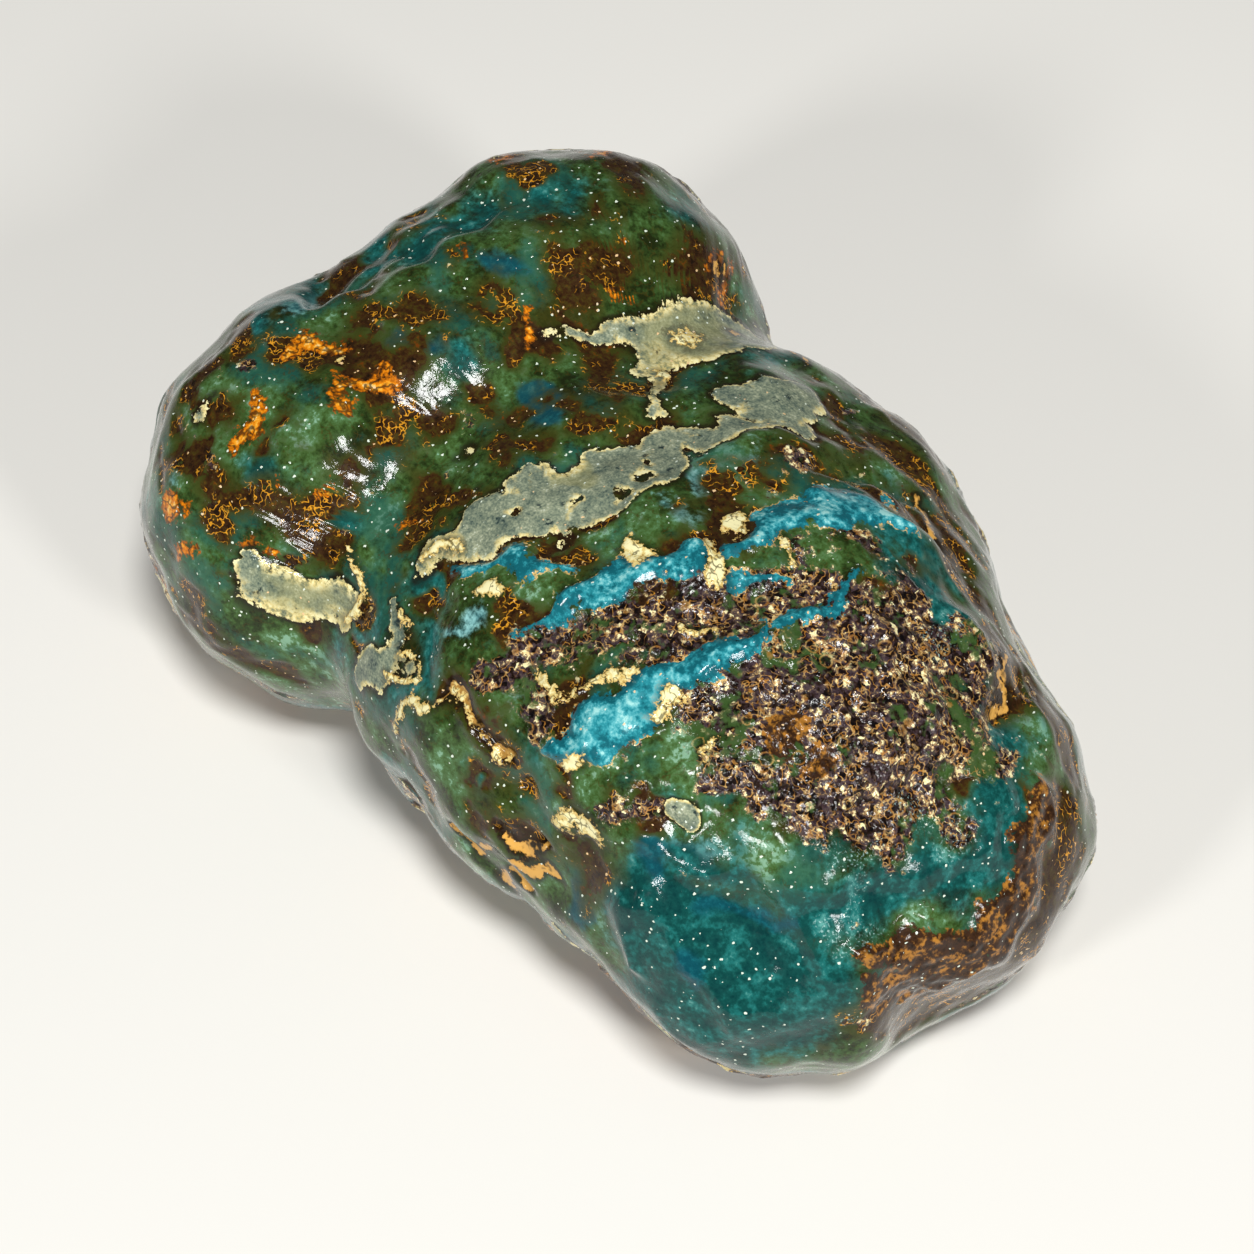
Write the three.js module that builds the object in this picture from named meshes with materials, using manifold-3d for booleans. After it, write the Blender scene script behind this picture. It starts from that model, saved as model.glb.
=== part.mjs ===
// Rough blue amber: one tumbled nodule, about 57 mm long, lying on its worn flat base.
// Millimetres, +Z up. +X points along the nodule to its thick, pitted end. The origin is on
// the resting plane, under the middle of the bounding box.
//
// The form is a smooth union of rounded lobes. Its skin is found along rays from the middle,
// and then raised and lowered along its own normal by the terraces, ribs, scoops and pits.

import * as THREE from 'three';
import { mergeVertices } from 'three/addons/utils/BufferGeometryUtils.js';
import Module from 'manifold-3d';

// ---- driving dimensions, mm ----

const FINENESS = 21;              // each edge of the starting icosahedron has 22 facets
const LEAN = 0.3;                 // draws facets towards the sculpted side
const HEART = [0, 0, 12];         // where the rays to the skin start
const REACH = [26, 15, 12];       // rough half sizes, which set the spread of the rays
const NEAREST = 0.05;             // the skin is looked for from here along a ray,
const FARTHEST = 1.9;             // to here, as shares of REACH
const HALVINGS = 30;              // steps of that search
const BLEND = 1.5;                // how softly the lobes run into each other
const BASE_DEPTH = 0.3;           // how far the worn base lies below the cut
const BASE_EDGE = 0.5;            // roundness of the base's rim
const BASE_FADE = 1.5;            // height over which the relief dies away at the base

// The sculpted side faces this way: degrees round from -Y towards +X, and degrees up.
const SHOW_TURN = 51;
const SHOW_TILT = 50;

// Lobes: centre, half sizes, and squareness (2 is an ellipsoid, more is boxier).
const LOBES = {
  farLeft: { at: [-17.5, -5.5, 10.5], half: [12, 12.5, 11.5], square: 2 },
  farMiddle: { at: [-16.5, 2.5, 11], half: [12, 9, 12], square: 2 },
  farRight: { at: [-17.5, 10, 14], half: [11, 10.5, 10], square: 2 },
  waist: { at: [1, 2, 11], half: [15, 17.5, 12], square: 2.2 },
  nearMain: { at: [11, 0.5, 11], half: [14, 14, 12.5], square: 2 },
  nearLow: { at: [17.5, -3.5, 8.5], half: [10, 10, 9], square: 2 },
  nearRight: { at: [18, 4, 8.5], half: [10, 9.5, 9.5], square: 2 },
};

// Dents pressed into both ends and the rear flank, with the roundness of their rims.
const DENTS = {
  farHollow: { at: [-33.6, 2, 16], half: [6, 9, 9], rim: 0.8 },
  heelGap: { at: [33, -3.5, 7], half: [6, 5, 7], rim: 0.8 },
  rearHollow: { at: [3.5, 21.2, 5.5], half: [7, 5, 4.5], rim: 0.8 },
  rearNick: { at: [-9, 22.6, 7.5], half: [3, 5, 6], rim: 0.6 },
};

// Low swells over the whole skin: wavelength, height, direction and phase.
const SWELLS = [
  { wave: 9.5, height: 0.2, along: [0.8, 0.5, 0.33], phase: 0.4 },
  { wave: 6.5, height: 0.13, along: [-0.4, 0.85, 0.35], phase: 1.7 },
  { wave: 4.6, height: 0.07, along: [0.35, -0.3, 0.89], phase: 3.1 },
  { wave: 7.6, height: 0.12, along: [0.2, 0.6, -0.77], phase: 5 },
];
const SWELL_SIDE = [0.31, 0.22, 0.93];  // sets the direction in which a swell bends
const SWELL_BEND = 1.3;                 // how far a swell's crests bend
const SWELL_BEND_RATE = 0.7;            // bends per wave

// Shallow pocks, spread evenly over the sides that the show plane doesn't reach.
const POCK_COUNT = 60;
const POCK_RADII = [0.9, 1.7];
const POCK_DEPTH = 0.3;

// Relief is drawn on the show plane, square to the way the sculpted side faces: s runs along
// the nodule to its thick end, and t runs across it, upwards.
const SHOW_EDGE = 0.35;           // the relief fades out where the skin turns away

// The show plane is rippled a little, which keeps every drawn edge uneven.
const RIPPLE_S = [
  { size: 0.3, rate: [0, 1.7, 0.9], phase: 0 },
  { size: 0.15, rate: [2.9, 0, 0], phase: 1 },
];
const RIPPLE_T = [
  { size: 0.3, rate: [1.5, 0, 1.1], phase: 0 },
  { size: 0.15, rate: [0, 3.3, 0], phase: 2 },
];

// The raised terrace: height, the widths of the slope out and in, and its outline.
const TERRACE = {
  height: 0.4, out: 0.8, in: 0.8,
  outline: [
    [-12.5, 0.5], [-9.5, 7.5], [-8.5, 13], [-6.5, 17], [-2, 19.3], [4, 19], [10.5, 15.8],
    [14.5, 12], [16, 8], [12.3, 3], [9, 0], [3, -3], [-4, -4.3], [-9.5, -3.5],
  ],
};

// The pitted hollow, an ellipse: depth, slopes, centre, half sizes and its turn in degrees.
const HOLLOW = {
  height: -0.45, out: 0.8, in: 1.5, at: [5, 9], half: [9.5, 6.8], turn: 25,
};

// The heel's crust: height, width of its edge, and a path of s, t and half width.
const HEEL_CRUST = {
  height: 0.4, edge: 0.5,
  path: [
    [14.7, 1, 0.4], [16.5, 2.5, 1], [18.3, 4, 1.4], [19.2, 6.5, 1.5], [18.6, 9, 1.1],
    [17.4, 11, 1], [16.6, 12.8, 1.1],
  ],
};

// Rounded ribs: each point is s, t and the half width there.
const RIB_ROUNDNESS = 0.75;       // 0.5 is a half circle, more is a flatter crown
const RIBS = {
  longRib: {
    height: 0.42,
    path: [
      [-8.3, 0.9, 0.15], [-7.3, 4.1, 0.6], [-6.7, 5.7, 0.95], [-4.9, 8.9, 0.75], [-4.1, 10, 0.3],
    ],
  },
  rimRib: {
    height: 0.4,
    path: [
      [-3.6, 11.3, 0.3], [-3, 13.2, 0.7], [-1.8, 15.7, 0.9], [0.3, 17.6, 0.8], [2.4, 18.2, 0.4],
    ],
  },
  waveRib: {
    height: 0.45,
    path: [
      [-2.9, -1.9, 0.3], [-2.4, -0.9, 0.9], [-1.9, 0.6, 1.3], [-1.6, 3.2, 1.3], [-1.1, 5.2, 0.7],
      [-0.5, 6.7, 0.6], [0, 8, 0.7], [0.1, 9.6, 0.4],
    ],
  },
  shortRib: {
    height: 0.35,
    path: [
      [0.7, 10.1, 0.2], [0.9, 11, 0.65], [1.2, 12, 0.55], [2.4, 13.8, 0.3], [1.8, 14.8, 0.2],
    ],
  },
  thinRib: {
    height: 0.25,
    path: [
      [-2.5, 10.1, 0.25], [-1.6, 11.4, 0.3], [-0.8, 12.2, 0.2],
    ],
  },
  upperRib: {
    height: 0.25,
    path: [
      [-13.2, 0.8, 0.3], [-11.8, 3, 0.5], [-10.6, 3.5, 0.5], [-8.8, 5, 0.2],
    ],
  },
};

// Soft furrows, and soft ridges where the height is above 0, drawn as the ribs are.
const FURROWS = {
  farGroove: {
    height: -0.9,
    path: [
      [-30.3, 6.5, 0.8], [-29.2, 9.5, 1.1], [-28.5, 12, 1.2], [-27.3, 15.5, 1.1],
      [-26.3, 18.5, 0.6],
    ],
  },
  flankGroove: {
    height: -0.45,
    path: [
      [-3.3, 18.2, 0.4], [-0.8, 19.6, 0.6], [1.5, 20, 0.7], [3.5, 20.2, 0.9], [5.8, 19.6, 0.7],
    ],
  },
  crack: {
    height: -0.35,
    path: [
      [-9.3, -3.7, 0.2], [-6.9, -3.4, 0.45], [-4.8, -3.9, 0.2],
    ],
  },
  lowGroove: {
    height: -0.35,
    path: [
      [-2.9, -6.7, 0.2], [-1.4, -6.8, 0.5], [0.1, -6.3, 0.2],
    ],
  },
  lowCrease: {
    height: -0.3,
    path: [
      [-3.9, -8.6, 0.2], [-1.9, -8.6, 0.5], [1, -8.7, 0.2],
    ],
  },
  chinRidge: {
    height: 0.4,
    path: [
      [4.7, -4.4, 0.4], [5.7, -5.6, 0.8], [7, -7, 0.5],
    ],
  },
};

// Shell-shaped scoops with a sharp rim: centre, half sizes and depth.
const SCOOPS = {
  chinScoop: { at: [10.3, -2.5], half: [4.5, 3], depth: 0.8 },
  chinFlake: { at: [11, -6.6], half: [2, 1.6], depth: 0.4 },
};

// Soft dimples: centre, radius and depth.
const DIMPLES = {
  flankPit: { at: [12.2, 15.8], radius: 1.5, depth: 0.8 },
  ringPit: { at: [3, -0.5], radius: 0.9, depth: 0.3 },
  browPit: { at: [-18, 5.3], radius: 1.1, depth: 0.35 },
  leftDip: { at: [-3.1, -4.5], radius: 0.8, depth: 0.3 },
};

// Pits in the hollow, on a sunflower spiral that is stretched along the nodule. Each next one
// turns by the golden angle.
const PIT_COUNT = 26;
const PIT_CENTRE = [5.2, 9.8];
const PIT_SPACING = [1.55, 1.1];
const PIT_RADII = [0.65, 1];
const PIT_DEPTH = 0.25;
const SUNFLOWER_TURN = Math.PI * (3 - Math.sqrt(5));

// ---- small sums ----

const vector = (xyz) => new THREE.Vector3(...xyz);

function showDirection() {
  const turn = THREE.MathUtils.degToRad(SHOW_TURN);
  const tilt = THREE.MathUtils.degToRad(SHOW_TILT);
  return vector([Math.sin(turn) * Math.cos(tilt), -Math.cos(turn) * Math.cos(tilt), Math.sin(tilt)]);
}

const SHOW = showDirection();
const ALONG = vector([1, 0, 0]).addScaledVector(SHOW, -SHOW.x).normalize();
const ACROSS = new THREE.Vector3().crossVectors(SHOW, ALONG);

// 0 up to the value `from`, 1 past the value `to`, and an S-curve between.
function ease(from, to, value) {
  const k = THREE.MathUtils.clamp((value - from) / (to - from), 0, 1);
  return k * k * (3 - 2 * k);
}

// The larger of two fields, rounded where they cross.
function softMax(a, b, softness) {
  const top = Math.max(a, b);
  return top + softness * Math.log(Math.exp((a - top) / softness) + Math.exp((b - top) / softness));
}

// ---- the bare form ----

// About the distance to a superellipsoid's skin, below 0 inside.
function lobeField(p, { at, half, square = 2 }) {
  const sum = Math.abs((p.x - at[0]) / half[0]) ** square
    + Math.abs((p.y - at[1]) / half[1]) ** square
    + Math.abs((p.z - at[2]) / half[2]) ** square;
  const size = Math.cbrt(half[0] * half[1] * half[2]);
  return (sum ** (1 / square) - 1) * size;
}

// The lobes joined, the dents pressed in and the base worn flat.
function formField(p) {
  let sum = 0;
  for (const lobe of Object.values(LOBES)) {
    sum += Math.exp(THREE.MathUtils.clamp(-lobeField(p, lobe) / BLEND, -40, 40));
  }
  let field = -BLEND * Math.log(sum);
  for (const dent of Object.values(DENTS)) {
    field = softMax(field, -lobeField(p, dent), dent.rim);
  }
  return softMax(field, -(p.z + BASE_DEPTH), BASE_EDGE);
}

// Where a ray from the heart meets the skin, found by halving.
function skinPoint(direction) {
  const ray = direction.clone().multiply(vector(REACH));
  let near = NEAREST;
  let far = FARTHEST;
  const point = new THREE.Vector3();
  for (let i = 0; i < HALVINGS; i += 1) {
    const middle = (near + far) / 2;
    point.copy(ray).multiplyScalar(middle).add(vector(HEART));
    if (formField(point) < 0) {
      near = middle;
    } else {
      far = middle;
    }
  }
  return point;
}

// The field's slope, which points straight out of the skin.
function skinNormal(point) {
  const nudge = 0.05;
  const slope = ['x', 'y', 'z'].map((axis) => {
    const ahead = point.clone();
    const behind = point.clone();
    ahead[axis] += nudge;
    behind[axis] -= nudge;
    return formField(ahead) - formField(behind);
  });
  return vector(slope).normalize();
}

// ---- the relief ----

// A smooth curve through points of any number of values, as a list of points.
function smoothPath(points, closed) {
  const steps = 4;
  const last = points.length - 1;
  const pick = (i) => (closed ? points.at(i % points.length) : points[THREE.MathUtils.clamp(i, 0, last)]);
  const path = [];
  for (let i = 0; i < (closed ? points.length : last); i += 1) {
    const [a, b, c, d] = [pick(i - 1), pick(i), pick(i + 1), pick(i + 2)];
    for (let step = 0; step < steps; step += 1) {
      const k = step / steps;
      path.push(b.map((_, n) => 0.5 * (2 * b[n] + (c[n] - a[n]) * k
        + (2 * a[n] - 5 * b[n] + 4 * c[n] - d[n]) * k ** 2
        + (3 * b[n] - a[n] - 3 * c[n] + d[n]) * k ** 3)));
    }
  }
  path.push(closed ? path[0] : points[last]);
  return path;
}

// For each stretch of a path: how near (s, t) is, and how far along the stretch.
function nearStretches(s, t, path) {
  return path.slice(1).map((end, i) => {
    const start = path[i];
    const run = [end[0] - start[0], end[1] - start[1]];
    const dot = (s - start[0]) * run[0] + (t - start[1]) * run[1];
    const k = THREE.MathUtils.clamp(dot / (run[0] ** 2 + run[1] ** 2), 0, 1);
    const away = Math.hypot(s - start[0] - k * run[0], t - start[1] - k * run[1]);
    return { start, end, k, away };
  });
}

// The distance to a closed outline, below 0 inside.
function outlineDistance(s, t, path) {
  const stretches = nearStretches(s, t, path);
  const crossed = stretches.filter(({ start, end }) => (start[1] > t) !== (end[1] > t)
    && s < start[0] + (t - start[1]) * (end[0] - start[0]) / (end[1] - start[1]));
  const away = Math.min(...stretches.map((stretch) => stretch.away));
  return crossed.length % 2 ? -away : away;
}

// The distance to an open stroke, measured in its own half widths.
function strokeDistance(s, t, path) {
  return Math.min(...nearStretches(s, t, path).map(({ start, end, k, away }) => (
    away / Math.max(start[2] + k * (end[2] - start[2]), 0.05))));
}

// How deep inside an open stroke a place lies, below 0 outside.
function strokeInside(s, t, path) {
  return Math.max(...nearStretches(s, t, path).map(({ start, end, k, away }) => (
    start[2] + k * (end[2] - start[2]) - away)));
}

const smoothed = (forms) => Object.values(forms).map((form) => (
  { ...form, path: smoothPath(form.path, false) }));
const terraceOutline = smoothPath(TERRACE.outline, true);
const [heelCrust] = smoothed({ HEEL_CRUST });
const ribs = smoothed(RIBS);
const furrows = smoothed(FURROWS);

// Swells: sine waves whose crests bend from side to side.
function swellHeight(p) {
  let height = 0;
  for (const swell of SWELLS) {
    const rate = 2 * Math.PI / swell.wave;
    const along = vector(swell.along).normalize();
    const side = new THREE.Vector3().crossVectors(along, vector(SWELL_SIDE)).normalize();
    const bend = SWELL_BEND * Math.sin(rate * SWELL_BEND_RATE * p.dot(side) + 2 * swell.phase);
    height += swell.height * Math.sin(rate * p.dot(along) + swell.phase + bend);
  }
  return height;
}

const terraceHeight = (s, t) => (
  TERRACE.height * ease(TERRACE.out, -TERRACE.in, outlineDistance(s, t, terraceOutline)));

function hollowHeight(s, t) {
  const { height, at, half } = HOLLOW;
  const turn = THREE.MathUtils.degToRad(HOLLOW.turn);
  const [right, up] = [s - at[0], t - at[1]];
  const across = (right * Math.cos(turn) + up * Math.sin(turn)) / half[0];
  const along = (up * Math.cos(turn) - right * Math.sin(turn)) / half[1];
  const away = (Math.hypot(across, along) - 1) * Math.min(...half);
  return height * ease(HOLLOW.out, -HOLLOW.in, away);
}

const crustHeight = (s, t, { height, edge, path }) => (
  height * ease(-edge, edge, strokeInside(s, t, path)));

function ribHeight(s, t, rib) {
  const away = strokeDistance(s, t, rib.path);
  return rib.height * Math.max(1 - away ** 2, 0) ** RIB_ROUNDNESS;
}

function furrowHeight(s, t, furrow) {
  return furrow.height * Math.exp(-(strokeDistance(s, t, furrow.path) ** 2));
}

function scoopHeight(s, t, { at, half, depth }) {
  const away = Math.hypot((s - at[0]) / half[0], (t - at[1]) / half[1]);
  return -depth * Math.max(1 - away ** 2, 0);
}

function dimpleHeight(s, t, { at, radius, depth }) {
  return -depth * Math.exp(-1.5 * (Math.hypot(s - at[0], t - at[1]) / radius) ** 2);
}

// A flat-floored pit, 1 at its middle. Its radius is one of five between the two given.
function pockShape(away, index, [smallest, largest]) {
  const radius = THREE.MathUtils.lerp(smallest, largest, ((index * 7) % 5) / 4);
  return Math.exp(-((away / radius) ** 4));
}

function pitHeight(s, t) {
  let height = 0;
  for (let i = 0; i < PIT_COUNT; i += 1) {
    const out = Math.sqrt(i + 0.5);
    const pitS = PIT_CENTRE[0] + PIT_SPACING[0] * out * Math.cos(SUNFLOWER_TURN * i);
    const pitT = PIT_CENTRE[1] + PIT_SPACING[1] * out * Math.sin(SUNFLOWER_TURN * i);
    height -= PIT_DEPTH * pockShape(Math.hypot(s - pitS, t - pitT), i, PIT_RADII);
  }
  return height;
}

const pocks = Array.from({ length: POCK_COUNT }, (_, i) => {
  const rise = 1 - 2 * (i + 0.5) / POCK_COUNT;
  const round = Math.sqrt(1 - rise ** 2);
  const turn = SUNFLOWER_TURN * i;
  return skinPoint(vector([round * Math.cos(turn), round * Math.sin(turn), rise]));
});

function pockHeight(p) {
  return pocks.reduce((height, pock, i) => (
    height - POCK_DEPTH * pockShape(p.distanceTo(pock), i, POCK_RADII)), 0);
}

const ripple = (p, waves) => waves.reduce((total, { size, rate, phase }) => (
  total + size * Math.sin(p.dot(vector(rate)) + phase)), 0);

// Height of the skin over the bare form, at a point with the given normal.
function reliefHeight(p, normal) {
  const s = p.dot(ALONG) + ripple(p, RIPPLE_S);
  const t = p.dot(ACROSS) + ripple(p, RIPPLE_T);
  const sum = (forms, height) => forms.reduce((total, form) => total + height(s, t, form), 0);
  const drawn = terraceHeight(s, t) + hollowHeight(s, t)
    + sum(ribs, ribHeight)
    + sum(furrows, furrowHeight)
    + sum(Object.values(SCOOPS), scoopHeight)
    + sum(Object.values(DIMPLES), dimpleHeight)
    + pitHeight(s, t);
  const facing = normal.dot(SHOW);
  const shown = ease(0, SHOW_EDGE, facing);
  const crust = ease(-SHOW_EDGE, SHOW_EDGE, facing) * crustHeight(s, t, heelCrust);
  const height = swellHeight(p) + shown * drawn + (1 - shown) * pockHeight(p) + crust;
  return height * ease(0, BASE_FADE, p.z);
}

// ---- the solid ----

// Turns a closed geometry into a manifold-3d solid, its shared corners merged.
function toSolid(wasm, geometry) {
  geometry.deleteAttribute('normal');
  geometry.deleteAttribute('uv');
  const merged = mergeVertices(geometry, 1e-4);
  return new wasm.Manifold(new wasm.Mesh({
    numProp: 3,
    vertProperties: new Float32Array(merged.attributes.position.array),
    triVerts: new Uint32Array(merged.index.array),
  }));
}

function toGeometry(solid) {
  const mesh = solid.getMesh();
  const geometry = new THREE.BufferGeometry();
  geometry.setAttribute('position', new THREE.BufferAttribute(mesh.vertProperties, 3));
  geometry.setIndex(new THREE.BufferAttribute(mesh.triVerts, 1));
  return geometry;
}

// The nodule's skin: a ball of triangles drawn out to the form and its relief.
function noduleSkin() {
  const ball = new THREE.IcosahedronGeometry(1, FINENESS);
  const places = ball.attributes.position;
  const direction = new THREE.Vector3();
  for (let i = 0; i < places.count; i += 1) {
    direction.fromBufferAttribute(places, i).addScaledVector(SHOW, LEAN).normalize();
    const point = skinPoint(direction);
    const normal = skinNormal(point);
    point.addScaledVector(normal, reliefHeight(point, normal));
    places.setXYZ(i, point.x, point.y, point.z);
  }
  return ball;
}

// Everything below the resting plane, which the worn base is cut with.
function groundBlock() {
  const size = 100;
  return new THREE.BoxGeometry(size, size, size).translate(0, 0, -size / 2);
}

async function makeNodule() {
  const wasm = await Module();
  wasm.setup();
  const solid = toSolid(wasm, noduleSkin()).subtract(toSolid(wasm, groundBlock()));
  const geometry = toGeometry(solid);
  geometry.computeBoundingBox();
  const middle = geometry.boundingBox.getCenter(new THREE.Vector3());
  geometry.translate(-middle.x, -middle.y, 0);
  geometry.computeVertexNormals();

  const material = new THREE.MeshStandardMaterial({ color: 0x2f7469, roughness: 0.2, metalness: 0 });
  const nodule = new THREE.Mesh(geometry, material);
  nodule.name = 'nodule';
  return nodule;
}

const roughBlueAmber = new THREE.Group();
roughBlueAmber.name = 'rough_blue_amber';
roughBlueAmber.add(await makeNodule());

export default roughBlueAmber;
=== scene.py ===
import itertools
import math

import bpy
import numpy as np
from bpy.props import FloatProperty, FloatVectorProperty, IntProperty, PointerProperty
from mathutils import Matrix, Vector


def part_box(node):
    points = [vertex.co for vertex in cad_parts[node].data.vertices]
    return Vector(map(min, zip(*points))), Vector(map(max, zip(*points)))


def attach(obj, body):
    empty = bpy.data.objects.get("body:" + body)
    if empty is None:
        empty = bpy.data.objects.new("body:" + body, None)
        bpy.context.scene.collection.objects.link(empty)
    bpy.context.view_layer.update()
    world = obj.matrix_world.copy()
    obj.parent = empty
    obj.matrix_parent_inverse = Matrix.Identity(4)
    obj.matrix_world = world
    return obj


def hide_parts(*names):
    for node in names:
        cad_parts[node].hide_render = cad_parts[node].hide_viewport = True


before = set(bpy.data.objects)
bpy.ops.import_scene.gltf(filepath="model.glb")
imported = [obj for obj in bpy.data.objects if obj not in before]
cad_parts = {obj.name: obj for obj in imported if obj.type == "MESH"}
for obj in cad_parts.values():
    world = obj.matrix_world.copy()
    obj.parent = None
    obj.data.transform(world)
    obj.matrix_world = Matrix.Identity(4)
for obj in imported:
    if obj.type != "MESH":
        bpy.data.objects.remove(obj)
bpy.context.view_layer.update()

# Rough blue amber: a tumbled nodule with a glossy, mottled skin. The form is worked out in
# millimetres in the maker's own frame, whose middle is HEART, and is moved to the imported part's
# place at the end. Markings and fine relief are drawn on the show plane, as s along and t across.

bl_info = {
    "name": "Rough Blue Amber",
    "version": (1, 0, 0),
    "blender": (4, 5, 0),
    "location": "3D View > Sidebar > Amber",
    "description": "Builds a rough blue amber nodule with its fine skin, markings and gloss",
    "category": "Object",
}

NODE = "nodule"
BODY = "root"
MM = 0.001


# ---- the form: driving sizes in mm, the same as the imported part's ----

HEART = (0, 0, 12)
REACH = (26, 15, 12)
NEAREST, FARTHEST, HALVINGS = 0.05, 1.9, 26
LEAN = 0.3
EXPONENT_CAP = 40
NUDGE = 0.05
BLEND = 1.5
BASE_DEPTH, BASE_EDGE, BASE_FADE = 0.3, 0.5, 1.5
SHOW_TURN, SHOW_TILT = 51, 50
SHOW_EDGE = 0.35
AIM = (0.5, -1.5, 11)  # where the camera looks, from the middle of the box's floor
SUNFLOWER_TURN = math.pi * (3 - math.sqrt(5))

# Lobes: centre, half sizes, squareness.
LOBES = {
    "far_left": ((-17.5, -5.5, 10.5), (12, 12.5, 11.5), 2),
    "far_middle": ((-16.5, 2.5, 11), (12, 9, 12), 2),
    "far_right": ((-17.5, 10, 14), (11, 10.5, 10), 2),
    "waist": ((1, 2, 11), (15, 17.5, 12), 2.2),
    "near_main": ((11, 0.5, 11), (14, 14, 12.5), 2),
    "near_low": ((17.5, -3.5, 8.5), (10, 10, 9), 2),
    "near_right": ((18, 4, 8.5), (10, 9.5, 9.5), 2),
}

# Dents: centre, half sizes, roundness of the rim.
DENTS = {
    "far_hollow": ((-33.6, 2, 16), (6, 9, 9), 0.8),
    "heel_gap": ((33, -3.5, 7), (6, 5, 7), 0.8),
    "rear_hollow": ((3.5, 21.2, 5.5), (7, 5, 4.5), 0.8),
    "rear_nick": ((-9, 22.6, 7.5), (3, 5, 6), 0.6),
}

# Swells: wavelength, height, direction, phase.
SWELLS = [
    (9.5, 0.2, (0.8, 0.5, 0.33), 0.4),
    (6.5, 0.13, (-0.4, 0.85, 0.35), 1.7),
    (4.6, 0.07, (0.35, -0.3, 0.89), 3.1),
    (7.6, 0.12, (0.2, 0.6, -0.77), 5),
]
SWELL_SIDE = (0.31, 0.22, 0.93)
SWELL_BEND, SWELL_BEND_RATE = 1.3, 0.7

# Ripples of the show plane: size, rate along x, y and z, phase.
RIPPLE_S = [(0.3, (0, 1.7, 0.9), 0), (0.15, (2.9, 0, 0), 1)]
RIPPLE_T = [(0.3, (1.5, 0, 1.1), 0), (0.15, (0, 3.3, 0), 2)]

# The terrace: height, slope out and in, outline. The hollow, an ellipse: the same, then its
# centre, half sizes and turn in degrees. The heel: height, edge, and a path of s, t, half width.
TERRACE = (0.4, 0.8, 0.8, [
    (-12.5, 0.5), (-9.5, 7.5), (-8.5, 13), (-6.5, 17), (-2, 19.3), (4, 19), (10.5, 15.8),
    (14.5, 12), (16, 8), (12.3, 3), (9, 0), (3, -3), (-4, -4.3), (-9.5, -3.5)])
HOLLOW = (-0.45, 0.8, 1.5, (5, 9), (9.5, 6.8), 25)
HEEL_CRUST = (0.4, 0.5, [
    (14.7, 1, 0.4), (16.5, 2.5, 1), (18.3, 4, 1.4), (19.2, 6.5, 1.5), (18.6, 9, 1.1),
    (17.4, 11, 1), (16.6, 12.8, 1.1)])

# Ribs and furrows: height, and a path of s, t and half width.
RIB_ROUNDNESS = 0.75
RIBS = {
    "long_rib": (0.42, [(-8.3, 0.9, 0.15), (-7.3, 4.1, 0.6), (-6.7, 5.7, 0.95), (-4.9, 8.9, 0.75),
                        (-4.1, 10, 0.3)]),
    "rim_rib": (0.4, [(-3.6, 11.3, 0.3), (-3, 13.2, 0.7), (-1.8, 15.7, 0.9), (0.3, 17.6, 0.8),
                      (2.4, 18.2, 0.4)]),
    "wave_rib": (0.45, [(-2.9, -1.9, 0.3), (-2.4, -0.9, 0.9), (-1.9, 0.6, 1.3), (-1.6, 3.2, 1.3),
                        (-1.1, 5.2, 0.7), (-0.5, 6.7, 0.6), (0, 8, 0.7), (0.1, 9.6, 0.4)]),
    "short_rib": (0.35, [(0.7, 10.1, 0.2), (0.9, 11, 0.65), (1.2, 12, 0.55), (2.4, 13.8, 0.3),
                         (1.8, 14.8, 0.2)]),
    "thin_rib": (0.25, [(-2.5, 10.1, 0.25), (-1.6, 11.4, 0.3), (-0.8, 12.2, 0.2)]),
    "upper_rib": (0.25, [(-13.2, 0.8, 0.3), (-11.8, 3, 0.5), (-10.6, 3.5, 0.5), (-8.8, 5, 0.2)]),
}
FURROWS = {
    "far_groove": (-0.9, [(-30.3, 6.5, 0.8), (-29.2, 9.5, 1.1), (-28.5, 12, 1.2), (-27.3, 15.5, 1.1),
                          (-26.3, 18.5, 0.6)]),
    "flank_groove": (-0.45, [(-3.3, 18.2, 0.4), (-0.8, 19.6, 0.6), (1.5, 20, 0.7), (3.5, 20.2, 0.9),
                             (5.8, 19.6, 0.7)]),
    "crack": (-0.35, [(-9.3, -3.7, 0.2), (-6.9, -3.4, 0.45), (-4.8, -3.9, 0.2)]),
    "low_groove": (-0.35, [(-2.9, -6.7, 0.2), (-1.4, -6.8, 0.5), (0.1, -6.3, 0.2)]),
    "low_crease": (-0.3, [(-3.9, -8.6, 0.2), (-1.9, -8.6, 0.5), (1, -8.7, 0.2)]),
    "chin_ridge": (0.4, [(4.7, -4.4, 0.4), (5.7, -5.6, 0.8), (7, -7, 0.5)]),
}

# Scoops: centre, half sizes, depth. Dimples: centre, radius, depth.
SCOOPS = [((10.3, -2.5), (4.5, 3), 0.8), ((11, -6.6), (2, 1.6), 0.4)]
DIMPLES = [((12.2, 15.8), 1.5, 0.8), ((3, -0.5), 0.9, 0.3), ((-18, 5.3), 1.1, 0.35),
           ((-3.1, -4.5), 0.8, 0.3)]

PIT_COUNT, PIT_CENTRE, PIT_SPACING = 26, (5.2, 9.8), (1.55, 1.1)
PIT_RADII, PIT_DEPTH = (0.65, 1), 0.25
POCK_COUNT, POCK_RADII, POCK_DEPTH = 60, (0.9, 1.7), 0.3
DIMPLE_FALL = 1.5


# ---- the markings: strokes on the show plane, each a path of s, t and half width in mm ----

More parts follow.
